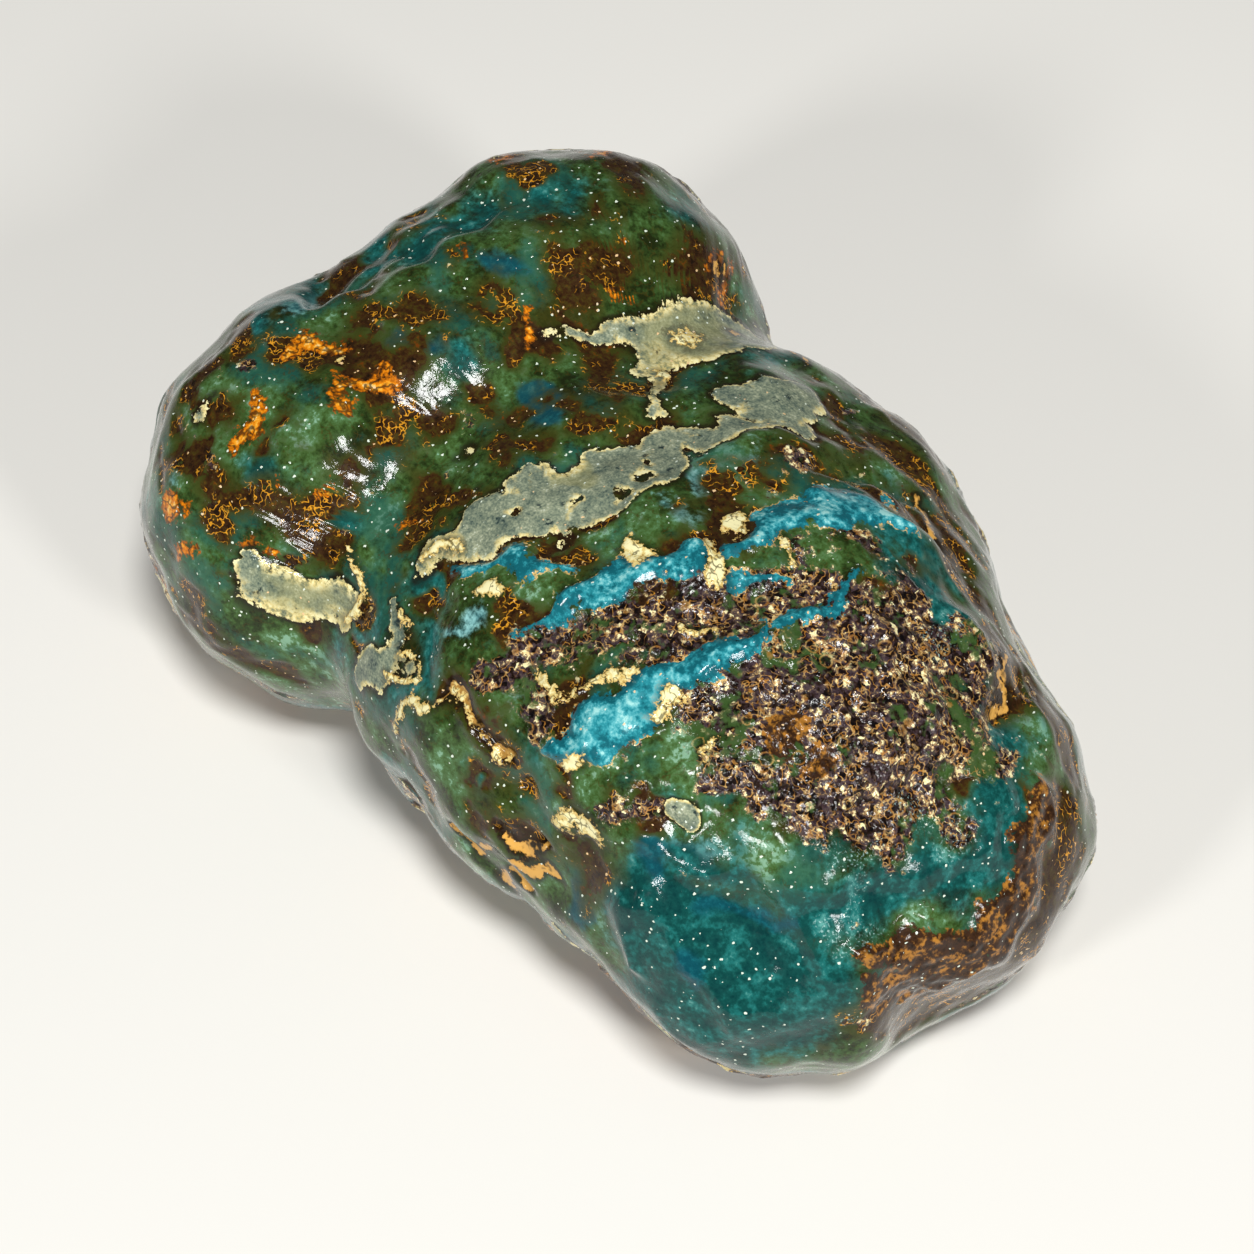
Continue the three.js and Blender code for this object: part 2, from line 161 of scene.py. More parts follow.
RIND = {
    "river": [(-14.8, 0, 0.5), (-13.3, 4.3, 1.3), (-11.7, 8, 1.9), (-9.9, 11.5, 1.8), (-9.6, 13.3, 1.2)],
    "arm": [(-9.8, 14.3, 0.4), (-7.6, 16.7, 0.5), (-5.3, 18.7, 0.4)],
    "ledge": [(-9.2, 17.8, 0.7), (-8, 18.5, 1.2), (-6.3, 19.7, 1.1), (-5, 20.3, 0.4)],
    "stem": [(-11.5, 14.5, 0.3), (-12.5, 15, 0.3), (-13.2, 16, 0.5), (-14.2, 16.5, 0.9)],
    "neck": [(-18.7, 13.6, 0.3), (-16.8, 15.7, 0.5), (-15.3, 16.8, 1), (-13.8, 18.6, 1.9),
             (-12.3, 20.3, 1.7), (-10.5, 21.2, 0.9)],
    "left_patch": [(-21.2, -7, 0.6), (-19.3, -6.2, 1.1), (-17.8, -5.4, 1.2), (-16.4, -4.2, 0.8)],
    "left_foot": [(-21.9, -6.9, 0.8), (-20.3, -7, 1.1), (-18.6, -6, 1), (-17, -5.4, 0.8),
                  (-15.6, -5.2, 0.4)],
    "strip": [(-14.2, -2.5, 0.4), (-13.4, -3.4, 0.4), (-12.8, -4.6, 0.6), (-12.6, -5.6, 1.1)],
}
RIND_PITS = {
    "upper_left": [(-13.8, 7.6, 0.3)], "middle": [(-10.9, 7.5, 0.3)],
    "lower": [(-9.8, 9.6, 0.2), (-9.4, 10, 0.3)], "right": [(-9.3, 11.4, 0.3)],
    "upper_right": [(-10.4, 11.7, 0.15), (-10, 12, 0.25)], "low_left": [(-13.2, 5.6, 0.2)],
}
CREAM = {
    "block": [(-4.7, 12.4, 0.8)], "lower_chip": [(-3.3, 10.3, 0.75)],
    "ragged": [(-7.5, 7.9, 0.35), (-6.5, 8.2, 0.45)], "rib_chip": [(-10.9, 1.2, 0.4)],
    "neck_low": [(-12.8, 16.2, 0.55)], "neck_high": [(-13.9, 18.1, 0.35), (-13, 18.9, 0.25)],
    "low_chip": [(-0.7, -3.9, 0.25), (0.3, -3.9, 0.5), (1.2, -3.6, 0.6)], "crater": [(-1.7, -1.6, 0.45)],
    "tan_shard": [(-0.6, 2.7, 0.35), (-0.4, 3.7, 0.45)],
    "river_tip": [(-14.9, 0.4, 0.3), (-14.3, 1.4, 0.35)],
    "patch_edge": [(-18.2, -1.9, 0.15), (-16.3, -2.8, 0.25), (-16, -4, 0.3), (-15.9, -4.9, 0.25)],
    "strip_edge": [(-13.5, -2.6, 0.15), (-12.6, -3.8, 0.15), (-11.1, -4.8, 0.2), (-11.9, -5.5, 0.25)],
    "fringe": [(-10.2, -6.8, 0.2), (-10, -6, 0.3), (-9.5, -5.4, 0.25), (-9.5, -4.6, 0.25)],
    "twist": [(-9.3, -3.9, 0.08), (-7, -3.6, 0.14), (-4.9, -4.1, 0.1)],
    "web": [(-6, 0, 0.35), (-5.2, 0.1, 0.3), (-4.5, 0.4, 0.3)],
    "feather": [(-3.9, 1.1, 0.25), (-3.9, 2.2, 0.25), (-3.2, 3.3, 0.2), (-2.6, 4, 0.15)],
    "curl_low": [(-2.7, 7, 0.18), (-1.3, 7.6, 0.18)], "curl_high": [(-1.5, 13.6, 0.2), (-1, 12.9, 0.2)],
    "curl_right": [(2, 3.2, 0.18), (2.6, 4.3, 0.18)], "heart": [(-25.9, 4.8, 0.35)],
}
TEAL = {
    "far_low": [(-31, 3.5, 0.8), (-31.3, 5.2, 0.9), (-31, 7.3, 0.5)],
    "far_high": [(-29.5, 10, 0.4), (-28.8, 11.2, 0.6), (-28, 13, 0.8), (-27.3, 15.2, 0.8), (-26.5, 17, 0.6)],
    "top_left": [(-25, 19, 0.8)], "top": [(-23.5, 20.5, 0.8)],
    "top_right": [(-18.6, 24, 0.6), (-17.2, 24.2, 0.6)],
    "over_ledge": [(-9.6, 20.4, 0.4), (-9, 20.6, 0.4)],
    "river_foot": [(-14.4, -0.6, 0.6), (-13.6, -0.4, 0.6)], "patch_gap": [(-14.4, -4.4, 0.6)],
    "left_low": [(-14.9, -6.6, 0.6)], "strip_foot": [(-12, -6, 0.5), (-10.6, -5.5, 0.6)],
    "left_slope": [(-11.8, -2.4, 0.8), (-10.6, -4.1, 0.7)], "far_left": [(-24.6, -2.7, 0.8)],
    "far_spots": [(-19.8, -1.6, 0.6), (-20.8, -3.7, 0.5)], "far_floor": [(-21.3, 9, 0.8)],
    "crack_foot": [(-4.6, -4, 0.45)], "low_left": [(-4.7, -5.9, 0.4)], "wave_tail": [(-3.4, -2.6, 0.4)],
    "rim": [(9.8, 15.2, 1), (13.2, 14, 1.2), (14, 12, 1.3), (15.2, 10.5, 1.5), (16.3, 8.8, 1.5),
            (15.8, 7, 1.2), (14, 5.8, 0.9)],
    "rim_inner": [(1.7, 16.5, 0.5), (2.7, 16.2, 0.5)], "rim_top": [(-1.2, 18.3, 0.6)],
    "flank": [(0.6, 20, 0.5), (1.8, 19.9, 0.5)],
    "chin": [(4.4, -3.6, 1.4), (7, -4.6, 3.2), (10.5, -4, 3.6), (13.6, -1.8, 2.4)],
    "chin_lip": [(3.7, -2, 0.5), (5, -1.2, 1.1), (6.2, -0.8, 0.9), (8, -0.4, 0.6)],
    "chin_low": [(9, -7, 2.4), (12, -6, 2.8), (14.5, -3.5, 2.4), (15.5, -1.5, 1.2)],
    "heel_inner": [(14.2, 6, 1.3), (13.4, 3.6, 1.5), (11.6, 1, 1.3)],
    "rim_side": [(1.5, 17.6, 0.9), (4.5, 17.3, 1.3), (8, 15.9, 1.4), (10.5, 14.2, 1.2)],
}
BLUE = {
    "dash": [(-11.3, -1.2, 0.25), (-10.2, 0, 0.35)], "streak": [(-7.2, 10.4, 0.25), (-6, 11.3, 0.25)],
    "dot": [(-7.4, 12.6, 0.3)], "arc": [(-6.9, 12.9, 0.22), (-6.3, 13.6, 0.2)],
    "arc_high": [(-6, 15.3, 0.35)], "web_blue": [(-6.3, -1.4, 0.25), (-5.8, -0.9, 0.3)],
    "floor_dot": [(4.8, 9.8, 0.3)], "chin_bright": [(4.2, -1.6, 0.6), (5.3, -0.6, 0.8)],
    "far_rim": [(-31.2, 3.4, 0.5), (-30.8, 5, 0.7), (-30.2, 7, 0.6)],
}
# Deep blue pools in the eye, far and top strokes. The chin strokes and low are painted shade: the chin's
# dark hollow, the shadow band under its lit edge and the dark underside.
POOL_AND_SHADE = {
    "eye": [(-16.8, 10.3, 0.9), (-15.5, 10.7, 1)], "far": [(-24.5, 7.9, 0.4), (-23, 8.6, 0.5)],
    "top": [(-23.9, 14.7, 0.5), (-22.6, 14.8, 0.5)], "chin_top_shade": [(3.8, -2.2, 0.45), (4.6, -2.9, 0.6)],
    "chin_shadow": [(7.4, -2.4, 0.2), (9, -1.7, 0.35), (10.3, -0.8, 0.3), (11.3, 0.4, 0.2)],
    "low": [(2.3, -6.4, 0.5), (3.2, -7.4, 0.6)], "chin_low": [(8.9, -5, 0.6), (10, -5.6, 0.4)],
}
GRAIN = {
    "under_long": [(-6.6, 1.4, 0.8), (-5.6, 3.8, 1), (-4.4, 6, 1.1), (-2.6, 8.2, 1.1)],
    "foot": [(-7.2, -0.9, 0.7), (-5.2, -0.4, 0.6)],
    "mound_side": [(0.3, 3.6, 1), (2.5, 4.2, 1.2), (4.4, 4.4, 1.1)],
    "under_short": [(-1.5, 9, 0.7), (-0.4, 10.8, 0.5)], "eye": [(1.2, -1.6, 0.7), (2.2, -1, 0.5)],
}
GREEN = {
    "apron": [(1, 0.8, 1), (3.6, 1.2, 0.9), (6.3, 1.2, 1.1), (9.3, 2.4, 1.2)],
    "floor": [(3, 13.6, 0.6), (4.4, 13, 0.8)], "rim": [(1.6, 17.2, 0.6), (2.8, 17, 0.6)],
    "right": [(11.7, 10.3, 0.6)], "arc": [(-8, 13.8, 0.4), (-7.5, 15.2, 0.5), (-6.2, 16.6, 0.5)],
}
# Frosting on the near lobe's right: fine pale speckle, partly painted sparkle of light.
FROST_AND_GLINT = {
    "high": [(13, 8, 1.2), (14.2, 8.7, 0.8)], "middle": [(13, 6.3, 0.9)], "left": [(10.8, 4.5, 0.7)],
    "swirl": [(13, 3.3, 0.8), (13, 1, 0.6)], "rim": [(7, 16.3, 0.6)],
    "scuffs": [(13, 0.3, 0.4), (14, 2.3, 0.5)],
}
EMBERS = {
    "brow": [(-28.6, 3.3, 0.3), (-28, 4.8, 0.5), (-26.7, 5.2, 0.4)],
    "net": [(-24.9, 3.3, 0.4), (-24.1, 4.9, 0.45), (-23.1, 5.9, 0.3)],
    "flame": [(-27.6, 0.3, 0.35), (-27.1, -0.8, 0.6), (-26.6, -2.2, 0.4)],
    "spot_high": [(-25.2, 13.5, 0.35)], "bar": [(-17.8, 18, 0.25), (-16.9, 18.2, 0.25)],
    "sun": [(-24, 6.3, 0.4)], "sun_low": [(-20.3, 14, 0.25), (-19.6, 12.9, 0.25)],
    "left_high": [(-27.2, -6.9, 0.5)], "left_low": [(-24.9, -8.3, 0.35)],
    "patch_spot": [(-21.3, -5.4, 0.25)], "edge_spot": [(-26.3, -6.8, 0.35)],
    "crumb": [(-23.3, -2.2, 0.2)], "crumb_right": [(-21.8, -0.8, 0.2)], "drip": [(-16.8, 0.7, 0.18)],
    "top_left": [(-28.9, 19.3, 0.3), (-27.7, 20, 0.3)],
    "top_rim": [(-25.2, 23.4, 0.3), (-23.8, 23.7, 0.35)], "rust": [(-22.6, -6, 0.35)],
    "bead": [(-19.1, 20, 0.2)], "shoulder_low": [(-15.3, 22.8, 0.25), (-15.1, 24, 0.25)],
    "shoulder_high": [(-13.8, 22.2, 0.3), (-14, 23.5, 0.25)], "neck_bar": [(-15.8, 16, 0.2)],
    "ring": [(-24.6, 3, 0.3), (-23.8, 3.7, 0.25)],
}
BROWN = {
    "core": [(-27, 4.5, 1), (-25, 5.8, 1.2), (-23, 7, 0.9)],
    "band": [(-26.8, 7.5, 0.4), (-25.7, 8.8, 0.6), (-24.5, 10, 0.6), (-23.6, 10.6, 0.4)],
    "edge_blot": [(-30.3, -4, 0.5)], "side_blot": [(-28.8, -1.8, 0.7)],
    "low_field": [(-26.8, -4.4, 0.6), (-25, -4.6, 0.6), (-22.7, -3.1, 0.8), (-20.8, -3, 0.5)],
    "patch_top": [(-18.8, -3, 0.7)],
    "neck_field": [(-19, 15, 0.6), (-17, 15, 0.7), (-15, 14, 0.8), (-13.5, 13, 0.6)],
    "neck_left": [(-21.2, 16.8, 0.6), (-20, 16, 0.7), (-18.6, 16.8, 0.6)],
    "top_band": [(-22.5, 23.4, 0.5), (-21, 23.2, 0.5)], "shoulder": [(-16.5, 22, 1), (-15.5, 22.5, 0.9)],
    "river_under": [(-14, 0.8, 0.3), (-12.2, 3.8, 0.5), (-11.3, 5.7, 0.6), (-10.4, 6.6, 0.5)],
    "river_over": [(-15.7, 7.6, 0.5), (-14.9, 8.6, 0.5)],
    "river_top": [(-12, 12.5, 0.5), (-10.8, 13.2, 0.5)],
    "rib_oval": [(-9.7, 5.4, 0.45), (-9.1, 5.7, 0.45)], "arc_oval": [(-5.7, 15, 0.3), (-4.3, 15.7, 0.3)],
    "arc_lens": [(-4.2, 17.6, 0.4), (-2.4, 18.3, 0.4)],
    "ledge_line": [(-9, 15.3, 0.25), (-6.5, 17.7, 0.35), (-3.5, 19.9, 0.45), (-2, 20.6, 0.4)],
    "ring": [(-23.3, 12.9, 0.3), (-22.6, 13.6, 0.3), (-21.7, 12.9, 0.35), (-22, 11.9, 0.35),
             (-22.9, 12, 0.3)],
    "low_eye": [(-3.1, -4.5, 0.6)],
    "crack_bed": [(-9.2, -3.6, 0.3), (-6.9, -3.4, 0.7), (-4.8, -3.9, 0.4)],
    "low_bed": [(-2.9, -6.7, 0.4), (-1.4, -6.9, 0.6), (0.1, -6.3, 0.4)],
    "chip_side": [(0.8, -4.6, 0.4), (2.5, -5, 0.6), (2.9, -5.9, 0.5)],
    "flank": [(3.5, 20.3, 0.6), (5.8, 19.6, 0.6)],
    "pit": [(8.8, 17.6, 0.5), (10.6, 17, 1), (11.8, 16.3, 0.9)],
    "heel_out": [(17.6, -0.6, 1), (19.6, 1, 1.3), (21, 3.5, 1.4), (21.4, 6.5, 1.4), (20.6, 9.5, 1.4),
                 (19.2, 12, 1.2), (17.8, 13.8, 1)],
}
GOLD = {
    "crack": [(-9.3, -3.8, 0.12), (-7, -3.4, 0.18), (-4.9, -3.9, 0.12)],
    "low_a": [(-2.6, -7, 0.12), (-1.3, -7.2, 0.2), (0, -6.6, 0.12)],
    "low_b": [(-0.8, -7.9, 0.15), (0.1, -7.6, 0.25), (1.1, -7.4, 0.2)],
    "low_c": [(-3.9, -8.6, 0.15), (-1.9, -8.6, 0.25)], "low_d": [(-0.3, -8.7, 0.25), (1, -8.7, 0.2)],
    "flank": [(1.6, 21, 0.12), (3.3, 19.8, 0.15), (5.3, 19, 0.12)],
    "pit_a": [(10.4, 17, 0.1), (11.4, 16.3, 0.12)], "pit_b": [(10.8, 16.3, 0.1), (12, 15.8, 0.12)],
    "rind_top": [(-12, 20.7, 0.12), (-11.4, 20.6, 0.12)],
    "ridge_a": [(-15, 23, 0.12), (-13.7, 23.2, 0.12)], "ridge_b": [(-9, 22.6, 0.12), (-7.8, 21.9, 0.12)],
}
TONGUES = {"heel_low": [(16.5, 0.3, 0.8), (18.5, 1.8, 1)]}
WARM_SPOTS = [((-12.6, 9), 1.5), ((-13.3, 18.5), 4), ((-18.5, -5.5), 4), ((-14.5, 1), 1.5)]


# ---- small sums ----

def unit(xyz):
    """A direction of length 1."""
    xyz = np.array(xyz, float)
    return xyz / np.linalg.norm(xyz)


def ease(start, end, value):
    """0 up to start, 1 past end, and an S-curve between: 3k squared less 2k cubed."""
    k = np.clip((value - start) / (end - start), 0, 1)
    return k * k * (3 - 2 * k)


def soft_max(a, b, softness):
    """The larger of two fields, rounded where they cross: the log of their summed powers of e."""
    top = np.maximum(a, b)
    return top + softness * np.log(np.exp((a - top) / softness) + np.exp((b - top) / softness))


def show_axes():
    """The way the show side faces, and the two directions along and across the show plane."""
    turn, tilt = math.radians(SHOW_TURN), math.radians(SHOW_TILT)
    level = math.cos(tilt)
    show = np.array([math.sin(turn) * level, -math.cos(turn) * level, math.sin(tilt)])
    along = unit(np.array([1, 0, 0]) - show * show[0])
    return show, along, np.cross(show, along)


SHOW, ALONG, ACROSS = show_axes()


# ---- noise: repeatable, from a fixed shuffle of each cell's place ----

CELL_PRIMES = (73856093, 19349663, 83492791)
SEED_PRIME, MIX_PRIME = 668265263, 73244475
WHOLE, HALF = 0x7FFFFFFF, 0xFFFF
SEED_SHIFT = 0.37
FAR_AWAY = 1e9


def shuffle(cell, seed):
    """A fixed number from 0 to 1 for each whole-number place: its parts times primes, mixed."""
    x, y, z = (cell[..., axis] * prime for axis, prime in enumerate(CELL_PRIMES))
    mixed = (x ^ y ^ z ^ seed * SEED_PRIME) & WHOLE
    for shift in (15, 13):
        mixed = ((mixed ^ mixed >> shift) * MIX_PRIME) & WHOLE
    return ((mixed ^ mixed >> 16) & HALF) / HALF


def noise(p, wave, seed):
    """Gradient noise, about -1 to 1: slopes at the corners of a cubic grid, blended by an S-curve."""
    q = p / wave + SEED_SHIFT * seed
    base = np.floor(q).astype(np.int64)
    part = q - base
    share = part ** 3 * (part * (part * 6 - 15) + 10)
    total = np.zeros(len(p))
    for corner in itertools.product((0, 1), repeat=3):
        cell = base + corner
        slope = np.stack([shuffle(cell, seed * 3 + axis) * 2 - 1 for axis in range(3)], -1)
        weight = np.prod(np.where(np.array(corner) == 1, share, 1 - share), axis=-1)
        total += weight * ((part - corner) * slope).sum(-1)
    return total * 2


def fractal(p, wave, seed, octaves=4, gain=0.5):
    """Noise at a wavelength and its halves, each smaller than the last by gain."""
    layers = range(octaves)
    total = sum(gain ** k * noise(p, wave / 2 ** k, seed + 17 * k) for k in layers)
    return total / sum(gain ** k for k in layers)


def nearest_seeds(p, wave, seed):
    """Distances to the two nearest of one scattered seed per cubic cell, and the nearest's number."""
    base = np.floor(p / wave).astype(np.int64)
    first = np.full(len(p), FAR_AWAY)
    second = first.copy()
    number = np.zeros(len(p))
    for step in itertools.product((-1, 0, 1), repeat=3):
        cell = base + step
        place = np.stack([shuffle(cell, seed + axis) for axis in range(3)], -1)
        away = np.linalg.norm((cell + place) * wave - p, axis=1)
        second = np.minimum(second, np.maximum(away, first))
        number = np.where(away < first, shuffle(cell, seed + 5), number)
        first = np.minimum(first, away)
    return first, second, number


# ---- the bare form ----

def lobe_field(p, centre, half, square):
    """About the distance to a superellipsoid: the power mean of the scaled offsets, less 1, by size."""
    mean = (np.abs((p - centre) / half) ** square).sum(-1) ** (1 / square)
    return (mean - 1) * np.cbrt(np.prod(half))


def form_field(p):
    """Below 0 inside: the lobes joined softly, the dents pressed in and the base worn flat."""
    total = 0
    for lobe in LOBES.values():
        total = total + np.exp(np.clip(-lobe_field(p, *lobe) / BLEND, -EXPONENT_CAP, EXPONENT_CAP))
    field = -BLEND * np.log(total)
    for centre, half, rim in DENTS.values():
        field = soft_max(field, -lobe_field(p, centre, half, 2), rim)
    return soft_max(field, -(p[:, 2] + BASE_DEPTH), BASE_EDGE)


def skin_points(directions):
    """Where rays from the heart meet the skin, found by halving."""
    rays = directions * REACH
    near = np.full((len(rays), 1), NEAREST)
    far = np.full((len(rays), 1), FARTHEST)
    for _ in range(HALVINGS):
        middle = (near + far) / 2
        inside = (form_field(HEART + rays * middle) < 0)[:, None]
        near = np.where(inside, middle, near)
        far = np.where(inside, far, middle)
    return HEART + rays * (near + far) / 2


def skin_normals(p):
    """The field's slope by central differences, which points straight out of the skin."""
    nudges = np.eye(3) * NUDGE
    slope = np.stack([form_field(p + nudge) - form_field(p - nudge) for nudge in nudges], -1)
    return slope / np.linalg.norm(slope, axis=1, keepdims=True)


def ball_grid(cells):
    """Directions and quads of six square grids wrapped round a ball, their shared edges joined.

    On each side of a cube the two parameters are tangents of evenly spaced angles, and the point
    they give is drawn in to length 1. All directions then lean towards the show side.
    """
    steps = np.tan(np.linspace(-math.pi / 4, math.pi / 4, cells + 1))
    u, v = np.meshgrid(steps, steps, indexing="ij")
    one = np.ones_like(u)
    sides = [(one, u, v), (-one, v, u), (v, one, u), (u, -one, v), (u, v, one), (v, u, -one)]
    points = np.concatenate([np.stack(side, -1).reshape(-1, 3) for side in sides])
    points /= np.linalg.norm(points, axis=1, keepdims=True)
    row = np.arange(cells)
    corner = (row[:, None] * (cells + 1) + row).ravel()
    quad = np.stack([corner, corner + cells + 1, corner + cells + 2, corner + 1], 1)
    quads = np.concatenate([quad + side * (cells + 1) ** 2 for side in range(6)])
    keys = np.round(points * 1e6).astype(np.int64)
    _, kept, joined = np.unique(keys, axis=0, return_index=True, return_inverse=True)
    leaning = points[kept] + LEAN * SHOW
    return leaning / np.linalg.norm(leaning, axis=1, keepdims=True), joined.reshape(-1)[quads]


# ---- drawing on the show plane ----

PATH_STEPS = 4
STROKE_FLOOR = 0.05
DOT_LENGTH = 1e-3


def smooth_path(points, closed):
    """A curve through the points: on each stretch, the usual cubic of it and its neighbours."""
    points = np.array(points, float)
    count = len(points)
    if count == 1:
        return np.vstack([points, points + (DOT_LENGTH, 0, 0)])
    first = np.arange(count if closed else count - 1)
    pick = [first + step for step in (-1, 0, 1, 2)]
    pick = [(i % count if closed else np.clip(i, 0, count - 1)) for i in pick]
    a, b, c, d = (points[i][:, None] for i in pick)
    k = (np.arange(PATH_STEPS) / PATH_STEPS)[None, :, None]
    path = 0.5 * (2 * b + (c - a) * k + (2 * a - 5 * b + 4 * c - d) * k ** 2
                  + (3 * b - a - 3 * c + d) * k ** 3)
    path = path.reshape(-1, points.shape[1])
    return np.vstack([path, path[:1] if closed else points[-1:]])


def near_stretch(s, t, start, end):
    """How far along a straight stretch the nearest point lies, and how far away it is."""
    run = end[:2] - start[:2]
    k = np.clip(((s - start[0]) * run[0] + (t - start[1]) * run[1]) / run.dot(run), 0, 1)
    return k, np.hypot(s - start[0] - k * run[0], t - start[1] - k * run[1])


def outline_distance(s, t, path):
    """The distance to a closed outline, below 0 inside, where a line to one side crosses it oddly."""
    least = np.full(s.shape, FAR_AWAY)
    inside = np.zeros(s.shape, bool)
    for start, end in zip(path[:-1], path[1:]):
        least = np.minimum(least, near_stretch(s, t, start, end)[1])
        if start[1] != end[1]:
            crossing = start[0] + (t - start[1]) * (end[0] - start[0]) / (end[1] - start[1])
            inside ^= ((start[1] > t) != (end[1] > t)) & (s < crossing)
    return np.where(inside, -least, least)


def stroke_distance(s, t, path):
    """The distance to an open stroke, measured in its own half widths."""
    least = np.full(s.shape, FAR_AWAY)
    for start, end in zip(path[:-1], path[1:]):
        k, away = near_stretch(s, t, start, end)
        width = np.maximum(start[2] + k * (end[2] - start[2]), STROKE_FLOOR)
        least = np.minimum(least, away / width)
    return least


def stroke_inside(s, t, path):
    """How deep inside an open stroke a place lies, in mm, below 0 outside."""
    deepest = np.full(s.shape, -FAR_AWAY)
    for start, end in zip(path[:-1], path[1:]):
        k, away = near_stretch(s, t, start, end)
        deepest = np.maximum(deepest, start[2] + k * (end[2] - start[2]) - away)
    return deepest


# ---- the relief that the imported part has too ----

def swell_height(p):
    """Sine waves in four directions, whose crests bend from side to side."""
    height = 0
    for wave, size, along, phase in SWELLS:
        rate = 2 * math.pi / wave
        along = unit(along)
        side = unit(np.cross(along, SWELL_SIDE))
        bend = SWELL_BEND * np.sin(rate * SWELL_BEND_RATE * (p @ side) + 2 * phase)
        height = height + size * np.sin(rate * (p @ along) + phase + bend)
    return height


def terrace_height(s, t):
    """A raised plate with a sloping edge: its height times an S-curve of the distance."""
    height, out, into, outline = TERRACE
    return height * ease(out, -into, outline_distance(s, t, smooth_path(outline, True)))


def hollow_distance(s, t):
    """About the distance to a turned ellipse, below 0 inside: the scaled radius, less 1, by size."""
    (at_s, at_t), half, degrees = HOLLOW[3:]
    turn = math.radians(degrees)
    right = (s - at_s) * math.cos(turn) + (t - at_t) * math.sin(turn)
    up = (t - at_t) * math.cos(turn) - (s - at_s) * math.sin(turn)
    return (np.hypot(right / half[0], up / half[1]) - 1) * min(half)


def hollow_height(s, t):
    """A shallow hollow: its depth times an S-curve of the ellipse's distance."""
    height, out, into = HOLLOW[:3]
    return height * ease(out, -into, hollow_distance(s, t))


def crust_height(s, t):
    """The heel's raised crust: an S-curve of the depth inside its stroke."""
    height, edge, path = HEEL_CRUST
    return height * ease(-edge, edge, stroke_inside(s, t, smooth_path(path, False)))


def pock_shape(away, index, radii):
    """A flat-floored pit, 1 at its middle: e to the minus fourth power of its scaled distance."""
    smallest, largest = radii
    radius = smallest + (largest - smallest) * ((index * 7) % 5) / 4
    return np.exp(-(away / radius) ** 4)


def drawn_height(s, t):
    """The plates, ribs, furrows, scoops, dimples and pits of the show side, added up."""
    height = terrace_height(s, t) + hollow_height(s, t)
    for size, path in RIBS.values():
        away = stroke_distance(s, t, smooth_path(path, False))
        height += size * np.maximum(1 - away ** 2, 0) ** RIB_ROUNDNESS
    for size, path in FURROWS.values():
        height += size * np.exp(-stroke_distance(s, t, smooth_path(path, False)) ** 2)
    for (at_s, at_t), (half_s, half_t), depth in SCOOPS:
        away = np.hypot((s - at_s) / half_s, (t - at_t) / half_t)
        height -= depth * np.maximum(1 - away ** 2, 0)
    for (at_s, at_t), radius, depth in DIMPLES:
        height -= depth * np.exp(-DIMPLE_FALL * (np.hypot(s - at_s, t - at_t) / radius) ** 2)
    for index in range(PIT_COUNT):
        out, turn = math.sqrt(index + 0.5), SUNFLOWER_TURN * index
        at_s = PIT_CENTRE[0] + PIT_SPACING[0] * out * math.cos(turn)
        at_t = PIT_CENTRE[1] + PIT_SPACING[1] * out * math.sin(turn)
        height -= PIT_DEPTH * pock_shape(np.hypot(s - at_s, t - at_t), index, PIT_RADII)
    return height


def pock_height(p):
    """Shallow pocks spread evenly over the whole skin by a sunflower spiral of directions."""
    index = np.arange(POCK_COUNT)
    rise = 1 - 2 * (index + 0.5) / POCK_COUNT
    level, turn = np.sqrt(1 - rise ** 2), SUNFLOWER_TURN * index
    places = skin_points(np.stack([level * np.cos(turn), level * np.sin(turn), rise], -1))
    height = np.zeros(len(p))
    for number, place in enumerate(places):
        away = np.linalg.norm(p - place, axis=1)
        height -= POCK_DEPTH * pock_shape(away, number, POCK_RADII)
    return height


def ripple(p, waves):
    """The sum of a few sine waves in space."""
    return sum(size * np.sin(p @ np.array(rate) + phase) for size, rate, phase in waves)


def chart_place(p):
    """Where a place lies on the show plane: its shares along and across, each with its ripple."""
    return p @ ALONG + ripple(p, RIPPLE_S), p @ ACROSS + ripple(p, RIPPLE_T)


def broad_relief(p, facing):
    """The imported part's own relief, in mm over the bare form."""
    s, t = chart_place(p)
    shown = ease(0, SHOW_EDGE, facing)
    crust = ease(-SHOW_EDGE, SHOW_EDGE, facing) * crust_height(s, t)
    return swell_height(p) + shown * drawn_height(s, t) + (1 - shown) * pock_height(p) + crust


# ---- the markings, as depths inside each mark in mm ----

DEEPEST = 2.5
WARPS = [(0.22, 1.3), (0.13, 0.6)]

# The drawn strokes of each kind of mark.
DRAWN = {
    "brown": BROWN, "teal": TEAL, "rind": RIND, "cream": CREAM, "pool": POOL_AND_SHADE, "grain": GRAIN,
    "rib": {name: path for name, (_, path) in RIBS.items()}, "streak": GOLD,
    "heel": {"crust": HEEL_CRUST[-1], **TONGUES}, "blue": BLUE, "ember": EMBERS, "green": GREEN,
    "frost": FROST_AND_GLINT,
}

# Scattered marks: noise wavelength, seed, gain in mm and how much is taken off.
SCATTERED = {
    "brown": (2.9, 31, 3.6, 0.4),
    "teal": (7, 37, 6, 0.6),
    "rind": (7, 41, 6, 1.5),
    "cream": (3, 43, 4, 1.5),
    "pool": (4, 47, 4.5, 1.3),
    "grain": (7, 53, 6, 1.6),
    "heel": (9, 59, 6, 2.4),
    "rib": (4.4, 61, 3.5, 1.4),
    "streak": (2.6, 67, 3, 0.95),
    "blue": (5, 71, 4, 1.3),
    "ember": (2.4, 73, 3, 1.2),
}

# The rind's line between the lobes, and how far marks are drawn out along the flanks.
RIVER_S, RIVER_SLOPE = 14, 0.45
STRETCH = 0.55

# The rear band: where it starts and ends in t, its slope and middle in s. The chin the same.
BAND_START, BAND_END, BAND_SLOPE, BAND_MIDDLE = 16, 18.5, 0.25, 6
CHIN_START, CHIN_END, CHIN_SLOPE = 4, 7, 0.9

